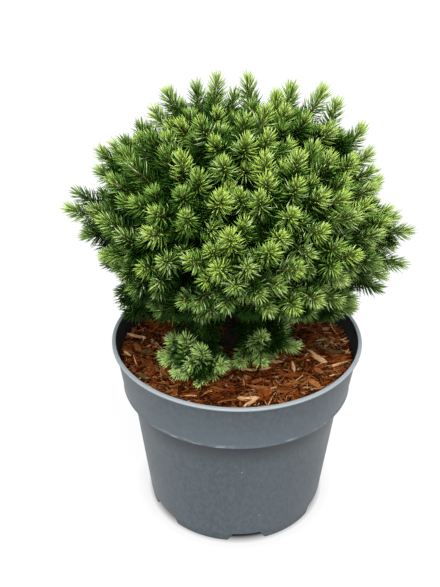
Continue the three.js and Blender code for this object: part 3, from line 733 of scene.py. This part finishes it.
def chip_shapes(rng, place, yaw, length, width, thickness, tumble=1.0):
    """Chips as closed four-sided splinters of five rings, all at once. Ring s, from -1 to 1, lies
    length s / 2 along the chip, its half width and half thickness shrink towards both ragged ends,
    and it is lifted by curl s^2. Each chip is then tipped, turned and kept inside the pot's wall."""
    count = len(place)
    long, wide_at_most, thick = (sizes[:, None, None] for sizes in (length, width, thickness))
    s = np.array([-1, -0.62, 0.05, 0.66, 1])[None, :, None] + rng.uniform(-0.12, 0.12, (count, 5, 1))
    wide = np.array([0.3, 0.92, 1, 0.8, 0.22])[None, :, None] * rng.uniform(0.7, 1.25, (count, 5, 1))
    corner_across = np.array([1, 1, -1, -1])[None, None] * rng.uniform(0.75, 1.2, (count, 5, 4))
    corner_up = np.array([-1, 1, 1, -1])[None, None] * rng.uniform(0.6, 1.2, (count, 5, 4))
    along = s * long / 2 + rng.uniform(-0.05, 0.05, (count, 5, 4)) * long
    across = corner_across * wide * wide_at_most / 2
    curl = rng.uniform(-0.04, 0.1, (count, 1, 1)) * long
    up = corner_up * thick / 2 * np.sqrt(wide) + curl * s**2
    roll, tip = rng.normal(0, 0.35 * tumble, (count, 1, 1)), rng.normal(0, 0.16 * tumble, (count, 1, 1))
    across, up = across * np.cos(roll) - up * np.sin(roll), across * np.sin(roll) + up * np.cos(roll)
    along, up = along * np.cos(tip) - up * np.sin(tip), along * np.sin(tip) + up * np.cos(tip)
    c, d = np.cos(yaw)[:, None, None], np.sin(yaw)[:, None, None]
    rings = np.stack([along * c - across * d, along * d + across * c, up], -1) + place[:, None, None]
    limit = (wall_inside(rings[..., 2:]) - 0.5) / length_of(rings[..., :2])
    rings[..., :2] *= np.minimum(limit, 1)
    first, last = rings[:, 0].mean(1, keepdims=True), rings[:, -1].mean(1, keepdims=True)
    points = np.concatenate([first, rings.reshape(count, 20, 3), last], 1)
    u = np.repeat(np.linspace(0, 1, 5), 4)
    v = np.tile(np.linspace(0, 0.75, 4), 5)
    own = np.concatenate([[[0, 0.4]], np.stack([u, v], -1), [[1, 0.4]]])
    uv = own[None] * np.stack([length / 12, np.ones(count)], -1)[:, None] + rng.uniform(0, 9, (count, 1, 2))
    faces = repeat_faces(tube_faces(5, 4), 22, count)
    return points.reshape(-1, 3), faces, uv.reshape(-1, 2)


def make_mulch():
    """The bed, then chips and fibres of several woods scattered over it, each kind one piece."""
    bed = add_piece("mulch_bed", make_mulch_bed(), [soil()])
    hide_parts("bark_mulch")
    rng = np.random.default_rng(CHIP_SEED)
    for name, dark, light, share, roughness in WOODS:
        groups = [scatter_chips(rng, round(count * share), *sizes) for count, *sizes in CHIP_SIZES]
        groups.append(lay_chips(rng, [chip[1:] for chip in MARKED_CHIPS if chip[0] == name]))
        shape = join_shapes([group[:2] for group in groups])
        uv = np.concatenate([group[2] for group in groups])
        wood = chip_wood(name, dark, light, roughness)
        add_piece("mulch_" + name, shape, [wood], smooth=False, uv=uv)


def lay_chips(rng, rows):
    """Chips laid flat on top of the others, each x, y, turn, length and width."""
    x, y, yaw, length, width = np.array(rows, float).reshape(-1, 5).T
    place = np.stack([x, y, mulch_height(x, y) + MARKED_CHIP_RISE], -1)
    thickness = np.full(len(x), MARKED_CHIP_THICKNESS)
    return chip_shapes(rng, place, np.radians(yaw), length, width, thickness, MARKED_CHIP_TUMBLE)


def scatter_chips(rng, count, lengths, slimness, thicknesses):
    """Chips strewn evenly over the mulch: radius grows as the root of a random share, so that every
    patch gets as many. Lengths are skewed to the short. None lies in the trunk or the wall."""
    length = lengths[0] + (lengths[1] - lengths[0]) * rng.random(count) ** 2.2
    width = length * rng.uniform(*slimness, count)
    thickness = rng.uniform(*thicknesses, count)
    near = TRUNK_FOOT_RADIUS - 1
    far = wall_inside(MULCH_TOP_Z - MULCH_EDGE_DROP) - 1
    radius = near + (far - near) * np.sqrt(rng.random(count))
    radius = np.minimum(radius, far - 0.36 * length)
    azimuth = rng.uniform(0, 2 * math.pi, count)
    x, y = radius * np.cos(azimuth), radius * np.sin(azimuth)
    z = mulch_height(x, y) + rng.uniform(-1.6, 1.8, count)
    yaw = rng.uniform(0, 2 * math.pi, count)
    return chip_shapes(rng, np.stack([x, y, z], -1), yaw, length, width, thickness)


def trunk_line(z):
    """The trunk's middle line, which leans with the square of the height and bows by a sine."""
    share = (z - MULCH_TOP_Z) / (TRUNK_TIP_Z - MULCH_TOP_Z)
    bow = TRUNK_BOW * np.sin(math.pi * share)
    return np.stack([TRUNK_LEAN[0] * share**2 - bow, TRUNK_LEAN[1] * share, z + 0 * share], -1)


def trunk_radius(z):
    """A straight taper, with a flare that widens as the square of the way down to the mulch."""
    share = (z - MULCH_TOP_Z) / (TRUNK_TIP_Z - MULCH_TOP_Z)
    flare = np.maximum(0, 1 - (z - MULCH_TOP_Z) / TRUNK_FLARE_HEIGHT)
    straight = TRUNK_RADIUS + (TRUNK_TIP_RADIUS - TRUNK_RADIUS) * share
    return straight + (TRUNK_FOOT_RADIUS - TRUNK_RADIUS) * flare**2


def bark_relief(angle, along):
    """Scaly relief from -1 to 1: crossed sines, bent by each other, and finer ones upon them."""
    plates = np.sin(5 * angle + 1.6 * np.sin(along * 0.21)) * np.sin(along * 0.55 + 2 * np.sin(2 * angle))
    scales = np.sin(11 * angle + along * 0.4) * np.sin(along * 1.3 - 3 * angle)
    return 0.6 * plates + 0.4 * scales


def make_trunk():
    """Level rings round the middle line, of the taper's radius plus the bark's relief and, at the
    foot, five broad root flares."""
    sides, stations = 56, 110
    z = np.linspace(MULCH_TOP_Z + CLEARANCE, TRUNK_TIP_Z, stations)[:, None]
    angle = full_turn(sides)[None]
    flare = np.maximum(0, 1 - (z - MULCH_TOP_Z) / TRUNK_FLARE_HEIGHT)
    radius = trunk_radius(z) + TRUNK_RELIEF * bark_relief(angle, z)
    radius = radius + ROOT_FLARES * flare * np.cos(5 * angle + 1)
    centre = trunk_line(z)
    out = np.stack([np.cos(angle), np.sin(angle), 0 * angle], -1)
    rings = centre + radius[..., None] * out
    points = np.concatenate([centre[0], rings.reshape(-1, 3), centre[-1]])
    # The trunk's bark is painted near black: painted shade for the dark hollow under the crown
    wood = bark("trunk_bark_painted_shade", (0.01, 0.006, 0.004), (0.045, 0.028, 0.019), 190)
    trunk = add_piece("trunk_bark_painted_shade", (points, tube_faces(stations, sides)), [wood])
    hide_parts("trunk")


def curve_place(controls, t):
    """Cubic curves: (1-t)^3 A + 3(1-t)^2 t B + 3(1-t) t^2 C + t^3 D, for controls (n, 4, 3), t (n, m)."""
    t = t[..., None]
    a, b, c, d = (controls[:, i, None] for i in range(4))
    return (1 - t) ** 3 * a + 3 * (1 - t) ** 2 * t * b + 3 * (1 - t) * t**2 * c + t**3 * d


def curve_heading(controls, t):
    """Unit tangents of the cubic curves: their derivative over its own length."""
    t = t[..., None]
    a, b, c = (controls[:, i + 1, None] - controls[:, i, None] for i in range(3))
    return unit((1 - t) ** 2 * a + 2 * (1 - t) * t * b + t**2 * c)


def curve_frame(controls, t):
    """Place, heading and two directions square to it on each curve, which don't twist along it:
    the first is one fixed vector less its part along the heading."""
    place, heading = curve_place(controls, t), curve_heading(controls, t)
    fixed, _ = across_axis(unit(controls[:, 3] - controls[:, 0]))
    u = unit(fixed[:, None] - dot(fixed[:, None], heading) * heading)
    return place, heading, u, np.cross(heading, u)


def tubes(controls, radii, sides, relief=0.0):
    """Closed tubes along cubic curves, all at once and all with the same radii at even steps: ring =
    place + radius (u cos a + v sin a), with a pole at each end, and the bark's relief if asked."""
    count, stations = len(controls), len(radii)
    t = np.broadcast_to(np.linspace(0, 1, stations), (count, stations))
    place, heading, u, v = curve_frame(controls, t)
    angle = full_turn(sides)
    length = np.linalg.norm(controls[:, 3] - controls[:, 0], axis=-1)
    raised = relief * bark_relief(angle[None, None], (t * length[:, None])[..., None] * 2.2)
    radius = (radii[..., None] + raised)[..., None]
    c, s = np.cos(angle)[:, None], np.sin(angle)[:, None]
    rings = place[:, :, None] + radius * (u[:, :, None] * c + v[:, :, None] * s)
    points = np.concatenate([place[:, :1], rings.reshape(count, -1, 3), place[:, -1:]], 1)
    faces = repeat_faces(tube_faces(stations, sides), stations * sides + 2, count)
    return points.reshape(-1, 3), faces


def list_boughs():
    """Arrays of every bough's name, axis, reach, foot, spread and height on the trunk."""
    rows = []
    for tier, attach, foot, spread, boughs in TIERS:
        for i, (azimuth, elevation, reach) in enumerate(boughs):
            stagger = BOUGH_STAGGER if i % 2 == 0 else -BOUGH_STAGGER
            rows.append((f"{tier}_{i + 1}", azimuth, elevation, reach, foot, spread, attach + stagger))
    names, azimuth, elevation, reach, foot, spread, attach = zip(*rows)
    numbers = [np.array(values, float) for values in (reach, foot, spread, attach)]
    return names, direction(np.array(azimuth, float), np.array(elevation, float)), *numbers


def list_shoots(axes, reaches, spreads):
    """The source's shoots: the leaders, then an even lattice of directions between them, each given
    to the bough whose axis is nearest. Returns aims, reaches, spins and bough numbers."""
    random = seeded(SEED)
    aims = [direction(azimuth, elevation) for azimuth, elevation, _ in LEADERS]
    shoot_reaches = [reach for _, _, reach in LEADERS]
    leaders = np.array(aims)
    room = math.cos(math.radians(LEADER_ROOM))
    for i in range(LATTICE_POINTS):
        up = 1 - (2 * i + 1) / LATTICE_POINTS
        elevation = math.degrees(math.asin(up)) + 3 * (next(random) - 0.5)
        aim = direction(LATTICE_TURN + i * GOLDEN_ANGLE + 4 * (next(random) - 0.5), elevation)
        reach = crown_reach(aim, axes, reaches) * (1 - REACH_JITTER * next(random))
        if np.all(leaders @ aim < room):
            aims.append(aim)
            shoot_reaches.append(reach)
    spins = np.array([2 * math.pi * next(random) for _ in aims])
    aims, shoot_reaches = np.array(aims), np.array(shoot_reaches, float)
    bough = np.argmax(aims @ axes.T, axis=1)
    near = np.sum(aims * axes[bough], -1) > np.cos(np.radians(spreads[bough]))
    return aims[near], shoot_reaches[near], spins[near], bough[near]


def crown_reach(aim, axes, reaches):
    """The mean of the boughs' reaches, each counting as e to the blend times (aim . axis - 1)."""
    weight = np.exp(REACH_BLEND * (aim @ axes.T - 1))
    return weight @ reaches / weight.sum(-1)


def pull_in(points, inner, axes, reaches):
    """Draws each point back towards its inner one until it clears the trunk, where its bough isn't
    a top one, the mulch or the pot's rim below it and, but for the steep low sprays, the crown's
    underside, which rises towards the front and leaves the needles room. Each limit is a plane:
    point . normal may be at most so much, and the share kept is within / (within + beyond)."""
    flat = axes * [1, 1, 0]
    beside = length_of(flat)
    over_rim = reaches * beside[:, 0] > RIM_CLEAR_RADIUS
    lowest = np.where(over_rim, RIM_CLEAR_Z, LOWEST_NEEDLE_Z)
    clear = np.where(axes[:, 2] < 0.5, TRUNK_CLEAR_RADIUS, -1e3)
    down = np.broadcast_to([0.0, 0.0, -1.0], points.shape)
    under = np.broadcast_to(unit(np.array([0.0, -UNDERSIDE_RISE, -1.0])), points.shape)
    underside = (UNDERSIDE_Z + NEEDLE_ROOM) / math.hypot(UNDERSIDE_RISE, 1)
    underside = np.where(axes[:, 2] > UNDERSIDE_STEEPEST, underside, -1e3)
    share = np.ones(len(points))
    for normal, most in ((-flat / beside, -clear), (down, -lowest), (under, -underside)):
        beyond = dot(points, normal)[:, 0] - most
        within = np.maximum(most - dot(inner, normal)[:, 0], 0)
        held = within / np.maximum(within + beyond, 1e-9)
        share = np.where(beyond > 0, np.minimum(share, held), share)
    return inner + (points - inner) * share[:, None]


def upturned(aims):
    """Headings of shoots: their aim, turned upwards in the upper crown. Here the tips of the lower
    shoots are turned up to the light as well, from the same places."""
    heading = aims.copy()
    heading[:, 2] += UPTURN * np.maximum(aims[:, 2], 0) + LOW_UPTURN * np.maximum(-aims[:, 2], 0)
    return unit(heading)


def branch_curves(start, start_heading, tip, tip_heading):
    """Cubic curves that leave the start along one heading and reach the tip along another."""
    pull = length_of(tip - start)
    first, last = start + start_heading * pull * CURVE_PULL, tip - tip_heading * pull * CURVE_PULL
    return np.stack([start, first, last, tip], 1)


def main_branches(axes, feet, aims, reaches, bough, bough_reaches):
    """The source's shoots as curves from their bough's stem to their own tip."""
    off = np.degrees(np.arccos(np.minimum(np.sum(aims * axes[bough], -1), 1)))
    on_stem = feet[bough] + STEM_LENGTH - np.minimum(off, OFF_AXIS_MOST)
    root_reach = np.minimum(on_stem, reaches - SHOOT_LENGTH - ROOT_ROOM)
    root = CROWN_CENTRE + axes[bough] * root_reach[:, None]
    tip = pull_in(CROWN_CENTRE + aims * reaches[:, None], root, axes[bough], bough_reaches[bough])
    heading = upturned(aims)
    return branch_curves(root, axes[bough], tip - heading * NEEDLE_OVERHANG, heading)


def side_branches(rng, mains, aims, bough, axes, reaches, spreads):
    """Side shoots, which fill the crown between the source's shoots: the side leaders, then an even,
    finer lattice of aims, each kept where its tip has room beside the others and its bough reaches.
    Each grows from the main branch of its bough whose aim is nearest. Returns their curves."""
    i = np.arange(FINE_LATTICE_POINTS)
    up = 1 - (2 * i + 1) / FINE_LATTICE_POINTS
    elevation = np.degrees(np.arcsin(up)) + rng.uniform(-1, 1, len(i))
    fine = direction(i * GOLDEN_ANGLE + rng.uniform(-1, 1, len(i)), elevation)
    reach = crown_reach(fine, axes, reaches) * (1 - REACH_JITTER * rng.random(len(i)))
    reach -= rng.uniform(*SIDE_SHORTER, len(i))
    placed = np.array(SIDE_LEADERS, float)
    fine = np.concatenate([direction(placed[:, 0], placed[:, 1]), fine])
    reach = np.concatenate([placed[:, 2], reach])
    own = np.argmax(fine @ axes.T, axis=1)
    held = np.sum(fine * axes[own], -1) > np.cos(np.radians(spreads[own] + SIDE_SPREAD))
    same = own[:, None] == bough[None]
    parent = np.argmax(np.where(same, fine @ aims.T, -9), axis=1)
    start_t = rng.uniform(*SIDE_STARTS, len(fine))[:, None]
    start = curve_place(mains[parent], start_t)[:, 0]
    tip = pull_in(CROWN_CENTRE + fine * reach[:, None], start, axes[own], reaches[own])
    tip_heading = upturned(fine)
    tip -= tip_heading * NEEDLE_OVERHANG
    along = curve_heading(mains[parent], start_t)[:, 0]
    curves = branch_curves(start, unit(along + 0.9 * unit(tip - start)), tip, tip_heading)
    tips = list(mains[:, 3])
    chosen = []
    found = rng.permutation(np.flatnonzero(held))
    for n in found[np.argsort(found >= len(placed), kind="stable")]:
        if n < len(placed) or np.min(np.linalg.norm(np.array(tips) - tip[n], axis=1)) > TIP_ROOM:
            tips.append(tip[n])
            chosen.append(n)
    return curves[chosen]


def inner_twigs(rng, curves, each, first, last):
    """Short shaded twigs on branches or boughs, from share first to share last of them, which close
    the crown. They are shorter far out on the low sprays, and end above the mulch and, but for the
    low sprays, above the crown's underside."""
    count = len(curves)
    step = (last - first) / each
    found = []
    for k in range(each):
        t = rng.uniform(first + step * k, first + step * (k + 1), count)[:, None]
        place, heading, u, v = (a[:, 0] for a in curve_frame(curves, t))
        turn = rng.uniform(0, 2 * math.pi, count)[:, None]
        out = u * np.cos(turn) + v * np.sin(turn)
        tip_heading = unit(heading * 0.75 + out)
        out_from_centre = place - CROWN_CENTRE
        is_low = unit(out_from_centre)[:, 2:] < LOW_SPRAYS
        is_far = is_low & (length_of(out_from_centre) > LOW_TWIG_REACH)
        length = rng.uniform(*INNER_TWIG_LENGTHS, count)[:, None]
        tip = place + tip_heading * length * np.where(is_far, 0.5, 1)
        underside = np.where(is_low[:, 0], 0, UNDERSIDE_Z + NEEDLE_ROOM - UNDERSIDE_RISE * tip[:, 1])
        tip[:, 2] = np.maximum(tip[:, 2], np.maximum(underside, LOWEST_NEEDLE_Z))
        found.append(branch_curves(place, unit(heading * 0.3 + out), tip, tip_heading))
    return np.concatenate(found)


def needles_on(rng, curves, spins, start, end, count, lean, length, width):
    """Needles set round each curve from share start to share end of it, in golden turns. One leaves
    the twig at an angle that falls from lean[0] to lean[1] towards the end, and bends forward.
    Returns root, aim, bend, length and width for each needle, and its share of the way."""
    share = ((np.arange(count)[None] + rng.random((len(curves), count))) / count) ** 0.85
    t = start[:, None] + (end - start)[:, None] * share
    place, heading, u, v = curve_frame(curves, t)
    turn = spins[:, None] + np.radians(GOLDEN_ANGLE) * np.arange(count)[None]
    turn = (turn + rng.normal(0, 0.16, turn.shape))[..., None]
    out = u * np.cos(turn) + v * np.sin(turn)
    angle = lean[0] + (lean[1] - lean[0]) * share**3.6 + rng.normal(0, 6, share.shape)
    angle = np.radians(angle)[..., None]
    aim = heading * np.cos(angle) + out * np.sin(angle)
    long = length * (1 - 0.38 * share**4) * rng.uniform(0.84, 1.12, share.shape)
    wide = width * rng.uniform(0.85, 1.15, share.shape)
    return place + out * 0.5, aim, heading, long, wide, share


def needle_shapes(root, aim, bend, length, width):
    """Closed three-sided needles, all at once: a ring at the root, one at the knee, which is moved
    KNEE_BEND of the length along the bend, and a point, moved TIP_BEND of it."""
    ring, length, width = needle_ring(aim), length[:, None], width[:, None, None]
    knee = root + (aim * NEEDLE_KNEE + bend * KNEE_BEND) * length
    tip = root + (aim + bend * TIP_BEND) * length
    low = root[:, None] + ring * width * 0.42
    high = knee[:, None] + ring * width * 0.5
    points = np.concatenate([low, high, tip[:, None]], 1)
    sides = [[0, 1, 4], [0, 4, 3], [1, 2, 5], [1, 5, 4], [2, 0, 3], [2, 3, 5]]
    own = np.array([[0, 2, 1], *sides, [3, 4, 6], [4, 5, 6], [5, 3, 6]])
    return points.reshape(-1, 3), repeat_faces(own, 7, len(root))


def needle_spikes(root, aim, bend, length, width):
    """Older needles, of four faces: a ring at the root and a point, which bends forward."""
    low = root[:, None] + needle_ring(aim) * width[:, None, None] * 0.55
    tip = root + (aim + bend * TIP_BEND) * length[:, None]
    points = np.concatenate([low, tip[:, None]], 1)
    own = np.array([[0, 2, 1], [0, 1, 3], [1, 2, 3], [2, 0, 3]])
    return points.reshape(-1, 3), repeat_faces(own, 4, len(root))


def needle_ring(aim):
    """Three unit vectors square to each needle, a third of a turn apart."""
    u, v = across_axis(aim)
    angle = np.radians([0, 120, 240])[:, None]
    return u[:, None] * np.cos(angle) + v[:, None] * np.sin(angle)


def add_needles(name, rows, material, shape=needle_shapes, most=MOST_NEEDLES):
    """Adds needles in pieces of at most that many, so that each stays under 200,000 triangles."""
    parts = math.ceil(len(rows[0]) / most)
    for i, chosen in enumerate(np.array_split(np.arange(len(rows[0])), parts)):
        root, aim, bend, length, width = (row[chosen] for row in rows)
        points, faces = shape(root, aim, bend, length, width)
        points[:, 2] = np.maximum(points[:, 2], MULCH_TOP_Z - 2)
        add_piece(f"needles_{name}_{i + 1}", (points, faces), [material])


def bough_curves(axes, feet, attaches):
    """Each bough as two cubic curves: from inside the trunk, with a little sag, to the foot of its
    mass, and on through it as the stem that carries its branches."""
    start = trunk_line(attaches)
    end = CROWN_CENTRE + axes * feet[:, None]
    stem_end = CROWN_CENTRE + axes * (feet[:, None] + STEM_LENGTH)
    span = end - start
    length = np.linalg.norm(span, axis=-1)
    middle = start + span * 0.55
    middle[:, 2] -= 0.08 * length * np.cos(np.arcsin(span[:, 2] / length))
    lower = np.stack([start, middle, end - axes * length[:, None] * 0.15, end], 1)
    upper = np.stack([end - axes, end + axes * 10, stem_end - axes * 10, stem_end], 1)
    return lower, upper


def make_boughs(names, lower, upper):
    """The boughs and stems in one taper each, with the bark's relief."""
    stations, sides = 14, 14
    share = np.linspace(0, 1, stations)
    lower_radii = BOUGH_FOOT_RADIUS + (BOUGH_TIP_RADIUS - BOUGH_FOOT_RADIUS) * share
    upper_radii = BOUGH_TIP_RADIUS + (TWIG_TIP_RADIUS - BOUGH_TIP_RADIUS) * share
    first = tubes(lower, lower_radii, sides, BOUGH_RELIEF)
    second = tubes(upper, upper_radii, sides, STEM_RELIEF)
    wood = bark("bough_bark", (0.03, 0.018, 0.01), (0.12, 0.075, 0.045), 260)
    boughs = add_piece("bough_bark", join_shapes([first, second]), [wood])
    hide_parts(*["bough_" + name for name in names])


def make_twigs(curves, foot_radius, name, stations=7, sides=5):
    """Tapering twigs along the branches' curves, which shrink with the square root of the way."""
    share = np.linspace(0, 1, stations)
    radii = TWIG_TIP_RADIUS + (foot_radius - TWIG_TIP_RADIUS) * (1 - np.sqrt(share))
    wood = bark(name + "_bark", (0.03, 0.022, 0.007), (0.09, 0.062, 0.02), 420)
    return add_piece(name, tubes(curves, radii, sides), [wood])


def make_buds(curves):
    """A blunt bud on every shoot's tip: a short tube along the heading that swells and closes."""
    tip, heading = curves[:, 3], unit(curves[:, 3] - curves[:, 2])
    along = [tip - heading, tip, tip + heading * 1.3, tip + heading * 2.5]
    scales = bark("bud_scales", (0.16, 0.19, 0.03), (0.36, 0.44, 0.07), 700)
    add_piece("buds", tubes(np.stack(along, 1), BUD_RADII, 6), [scales])


def make_young_stems(curves):
    """The last part of each shoot's twig, still green and just proud of the bark."""
    share = np.broadcast_to(np.linspace(YOUNG_STEM_START, 1, 4), (len(curves), 4))
    green = bark("young_stems", (0.09, 0.09, 0.02), (0.21, 0.22, 0.045), 500)
    add_piece("young_stems", tubes(curve_place(curves, share), YOUNG_STEM_RADII, 5), [green])


def needle_paleness(rng, out, share, is_side, is_under, is_low):
    """How pale each needle is, from the unit vector out to its spray's tip and its share of the way:
    base paleness + HIGHER_PALER z - TOP_AND_FOOT_DARKER z^2 + BACK_PALER y (behind) + LEFT_DARKER x (at
    the left), less or more for its kind of spray, plus ALONG_PALER (share - ALONG_LEVEL). The terms by
    place and kind of spray are painted light and shade; the rise along the shoot is partly the young
    growth's paler tips and partly painted shade at the shoot's foot."""
    spray = BASE_PALENESS + HIGHER_PALER * out[:, 2] - TOP_AND_FOOT_DARKER * out[:, 2] ** 2
    spray -= SIDE_DARKER * is_side
    spray -= UNDER_DARKER * is_under
    spray += np.clip(rng.normal(0, SPRAY_SPREAD, len(out)), *SPRAY_LIMITS)
    spray += BACK_PALER * np.maximum(out[:, 1], 0)
    spray += LEFT_DARKER * np.minimum(out[:, 0], 0)
    spray += LOW_PALER * is_low
    return spray[:, None] + ALONG_PALER * (share - ALONG_LEVEL) + rng.normal(0, NEEDLE_SPREAD, share.shape)


def make_young_needles(needles, paleness, is_high, is_low, thinned, glint):
    """The sprays' outer needles, dealt out to the greens by their paleness and kind of spray, and a
    few pale glints."""
    kept = ~glint & ~thinned
    kinds = [("yellow", is_high), ("grey", ~is_high & ~is_low), ("low", is_low)]
    step = np.digitize(paleness, GREEN_STEPS)
    for i, (name, gloss, yellow, grey) in enumerate(GREENS):
        # The low sprays' greens are the grey ones lifted by painted light
        colours = yellow, grey, np.multiply(grey, LOW_SPRAY_PAINTED_LIGHT)
        for (kind, wanted), (green, paler) in zip(kinds, colours):
            chosen = (step == i) & wanted[:, None] & kept
            material = needle_green(f"needle_{kind}_{name}", green, paler, gloss)
            add_needles(f"{kind}_{name}", [row[chosen] for row in needles[:5]], material)
    pale = needle_green("needle_glint", (0.42, 0.53, 0.24), (0.54, 0.65, 0.34), 0.4)
    add_needles("glint", [row[glint] for row in needles[:5]], pale)


def make_foliage(axes, reaches, feet, spreads, names, lower, upper):
    """All twigs and needles of the crown. The sprays' needles are more yellow high in it, greyer below
    and lifted by painted light on the low sprays. Behind them are older ones, darker with painted
    shade under the crown, and hidden ones on the inner twigs, painted darkest as shade."""
    rng = np.random.default_rng(SEED)
    aims, shoot_reaches, spins, bough = list_shoots(axes, reaches, spreads)
    mains = main_branches(axes, feet, aims, shoot_reaches, bough, reaches)
    sides = side_branches(rng, mains, aims, bough, axes, reaches, spreads)
    shoots = np.concatenate([mains, sides])
    inner = np.concatenate([
        inner_twigs(rng, shoots, BRANCH_TWIGS, *BRANCH_TWIG_SHARES),
        inner_twigs(rng, lower, BOUGH_TWIGS, *BOUGH_TWIG_SHARES),
        inner_twigs(rng, upper, STEM_TWIGS, *STEM_TWIG_SHARES),
    ])
    twigs = make_twigs(shoots, TWIG_FOOT_RADIUS, "twigs")
    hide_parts(*["foliage_" + name for name in names])
    make_twigs(inner, INNER_TWIG_RADIUS, "inner_twigs", 4, 3)
    make_buds(shoots)
    make_young_stems(shoots)
    spins = np.concatenate([spins, rng.uniform(0, 2 * math.pi, len(sides))])
    length = np.linalg.norm(shoots[:, 3] - shoots[:, 0], axis=-1) * CURVE_OVER_CHORD
    young_length = YOUNG_LENGTH * rng.uniform(0.85, 1.15, len(shoots))
    young = 1 - np.minimum(young_length / length, YOUNG_MOST)
    out = unit(shoots[:, 3] - CROWN_CENTRE)
    is_low = (out[:, 2] < LOW_SPRAYS) | (shoots[:, 0, 2] < LOW_SPRAY_TOP)
    is_under = (out[:, 2] < UNDER_SPRAYS) & ~is_low
    is_side = np.arange(len(shoots)) >= len(mains)
    long = np.where(is_low, LOW_SHORTER, 1)[:, None] * NEEDLE_LENGTH
    needles = needles_on(rng, shoots, spins, young, np.ones(len(shoots)), YOUNG_NEEDLES, YOUNG_LEAN,
                         long, NEEDLE_WIDTH)
    paleness = needle_paleness(rng, out, needles[5], is_side, is_under, is_low)
    glint = (rng.random(paleness.shape) < GLINTS) & (paleness > GREEN_STEPS[0])
    thinned = is_low[:, None] & (rng.random(paleness.shape) < LOW_THINNED)
    is_high = (out[:, 2] + rng.normal(0, HIGH_SPREAD, len(shoots)) > HIGH_SPRAYS) & ~is_low
    make_young_needles(needles, paleness, is_high, is_low, thinned, glint)
    old_start = np.maximum(young - OLD_LENGTH / length, 0.02)
    old = needles_on(rng, shoots, spins + 2, old_start, young, OLD_NEEDLES, OLD_LEAN,
                     OLD_NEEDLE_LENGTH, OLD_NEEDLE_WIDTH)
    every = np.ones(len(inner))
    hidden = needles_on(rng, inner, rng.uniform(0, 6, len(inner)), 0.1 * every, every, INNER_NEEDLES,
                        INNER_LEAN, OLD_NEEDLE_LENGTH, OLD_NEEDLE_WIDTH)
    # Older needles: darker, partly their own colour and partly painted shade, which is deepest under the
    # crown and on the hidden inner twigs; on the low sprays they are lifted by painted light
    shades = [
        ("shaded", old, ~is_low & ~is_under, (0.014, 0.047, 0.0047), (0.031, 0.086, 0.0094)),
        ("under", old, is_under, (0.0075, 0.028, 0.0025), (0.017, 0.052, 0.0055)),
        ("hidden", hidden, every > 0, (0.006, 0.026, 0.002), (0.013, 0.045, 0.004)),
        ("low", old, is_low, (0.04, 0.112, 0.017), (0.078, 0.178, 0.035)),
    ]
    for name, group, chosen, green, paler in shades:
        rows = [row[chosen].reshape(-1, *row.shape[2:]) for row in group[:5]]
        material = needle_green("needle_" + name, green, paler, 0.03)
        add_needles(name, rows, material, needle_spikes, MOST_SPIKES)


def make_stage():
    """A wide pale floor that glows but for the shade round the pot's foot, a white surround and four
    soft lights from above, in front and both sides."""
    side = 6.0
    corners = [(-side, -side, 0), (side, -side, 0), (side, side, 0), (-side, side, 0)]
    mesh = bpy.data.meshes.new("floor")
    mesh.from_pydata(corners, [], [(0, 1, 2, 3)])
    floor = add_object("floor", mesh)
    look = Look("floor_paper", 0.9, 0.1)
    fibre = look.noise(40, 3)
    look.show("Base Color", look.ramp(fibre, [(0.0, (0.06, 0.06, 0.06)), (1.0, (0.07, 0.07, 0.07))]))
    look.shader.inputs["Emission Color"].default_value = (1, 1, 1, 1)
    away = look.add("VectorMath", {0: look.place.outputs["Object"]})
    away.operation = "LENGTH"
    glows = [look.fade(away.outputs["Value"], *shade) for shade in FLOOR_SHADES]
    look.show("Emission Strength", look.product(*glows))
    mesh.materials.append(look.material)
    world = bpy.data.worlds.new("studio")
    world.use_nodes = True
    background = world.node_tree.nodes["Background"]
    background.inputs["Color"].default_value = (1, 1, 1, 1)
    background.inputs["Strength"].default_value = WORLD_STRENGTH
    bpy.context.scene.world = world
    for name, azimuth, elevation, width, strength in SOFT_LIGHTS:
        add_soft_light(name, azimuth, elevation, width, strength)
    bpy.context.scene.view_settings.view_transform = "Standard"


def add_soft_light(name, azimuth, elevation, width, strength):
    """A distant soft light that shines from an azimuth and an elevation."""
    data = bpy.data.lights.new(name, "SUN")
    data.angle = math.radians(width)
    data.energy = strength
    light = add_object(name, data)
    light.location = direction(azimuth, elevation)
    light.rotation_euler = (math.radians(90 - elevation), 0, math.radians(azimuth + 90))


def make_camera():
    """The photograph's view: from in front and above, pitched down."""
    data = bpy.data.cameras.new("camera")
    data.sensor_width = 36
    data.lens = CAMERA_LENS
    camera = add_object("camera", data)
    camera.location = CAMERA_PLACE
    camera.rotation_euler = (math.radians(CAMERA_PITCH), 0, 0)
    bpy.context.scene.camera = camera


make_camera()
make_stage()
make_pot()
make_mulch()
make_trunk()
bough_names, bough_axes, bough_reaches, bough_feet, bough_spreads, bough_attaches = list_boughs()
lower_boughs, upper_boughs = bough_curves(bough_axes, bough_feet, bough_attaches)
make_boughs(bough_names, lower_boughs, upper_boughs)
make_foliage(bough_axes, bough_reaches, bough_feet, bough_spreads, bough_names, lower_boughs, upper_boughs)
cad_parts["potting_soil"].data.materials.clear()
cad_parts["potting_soil"].data.materials.append(soil())
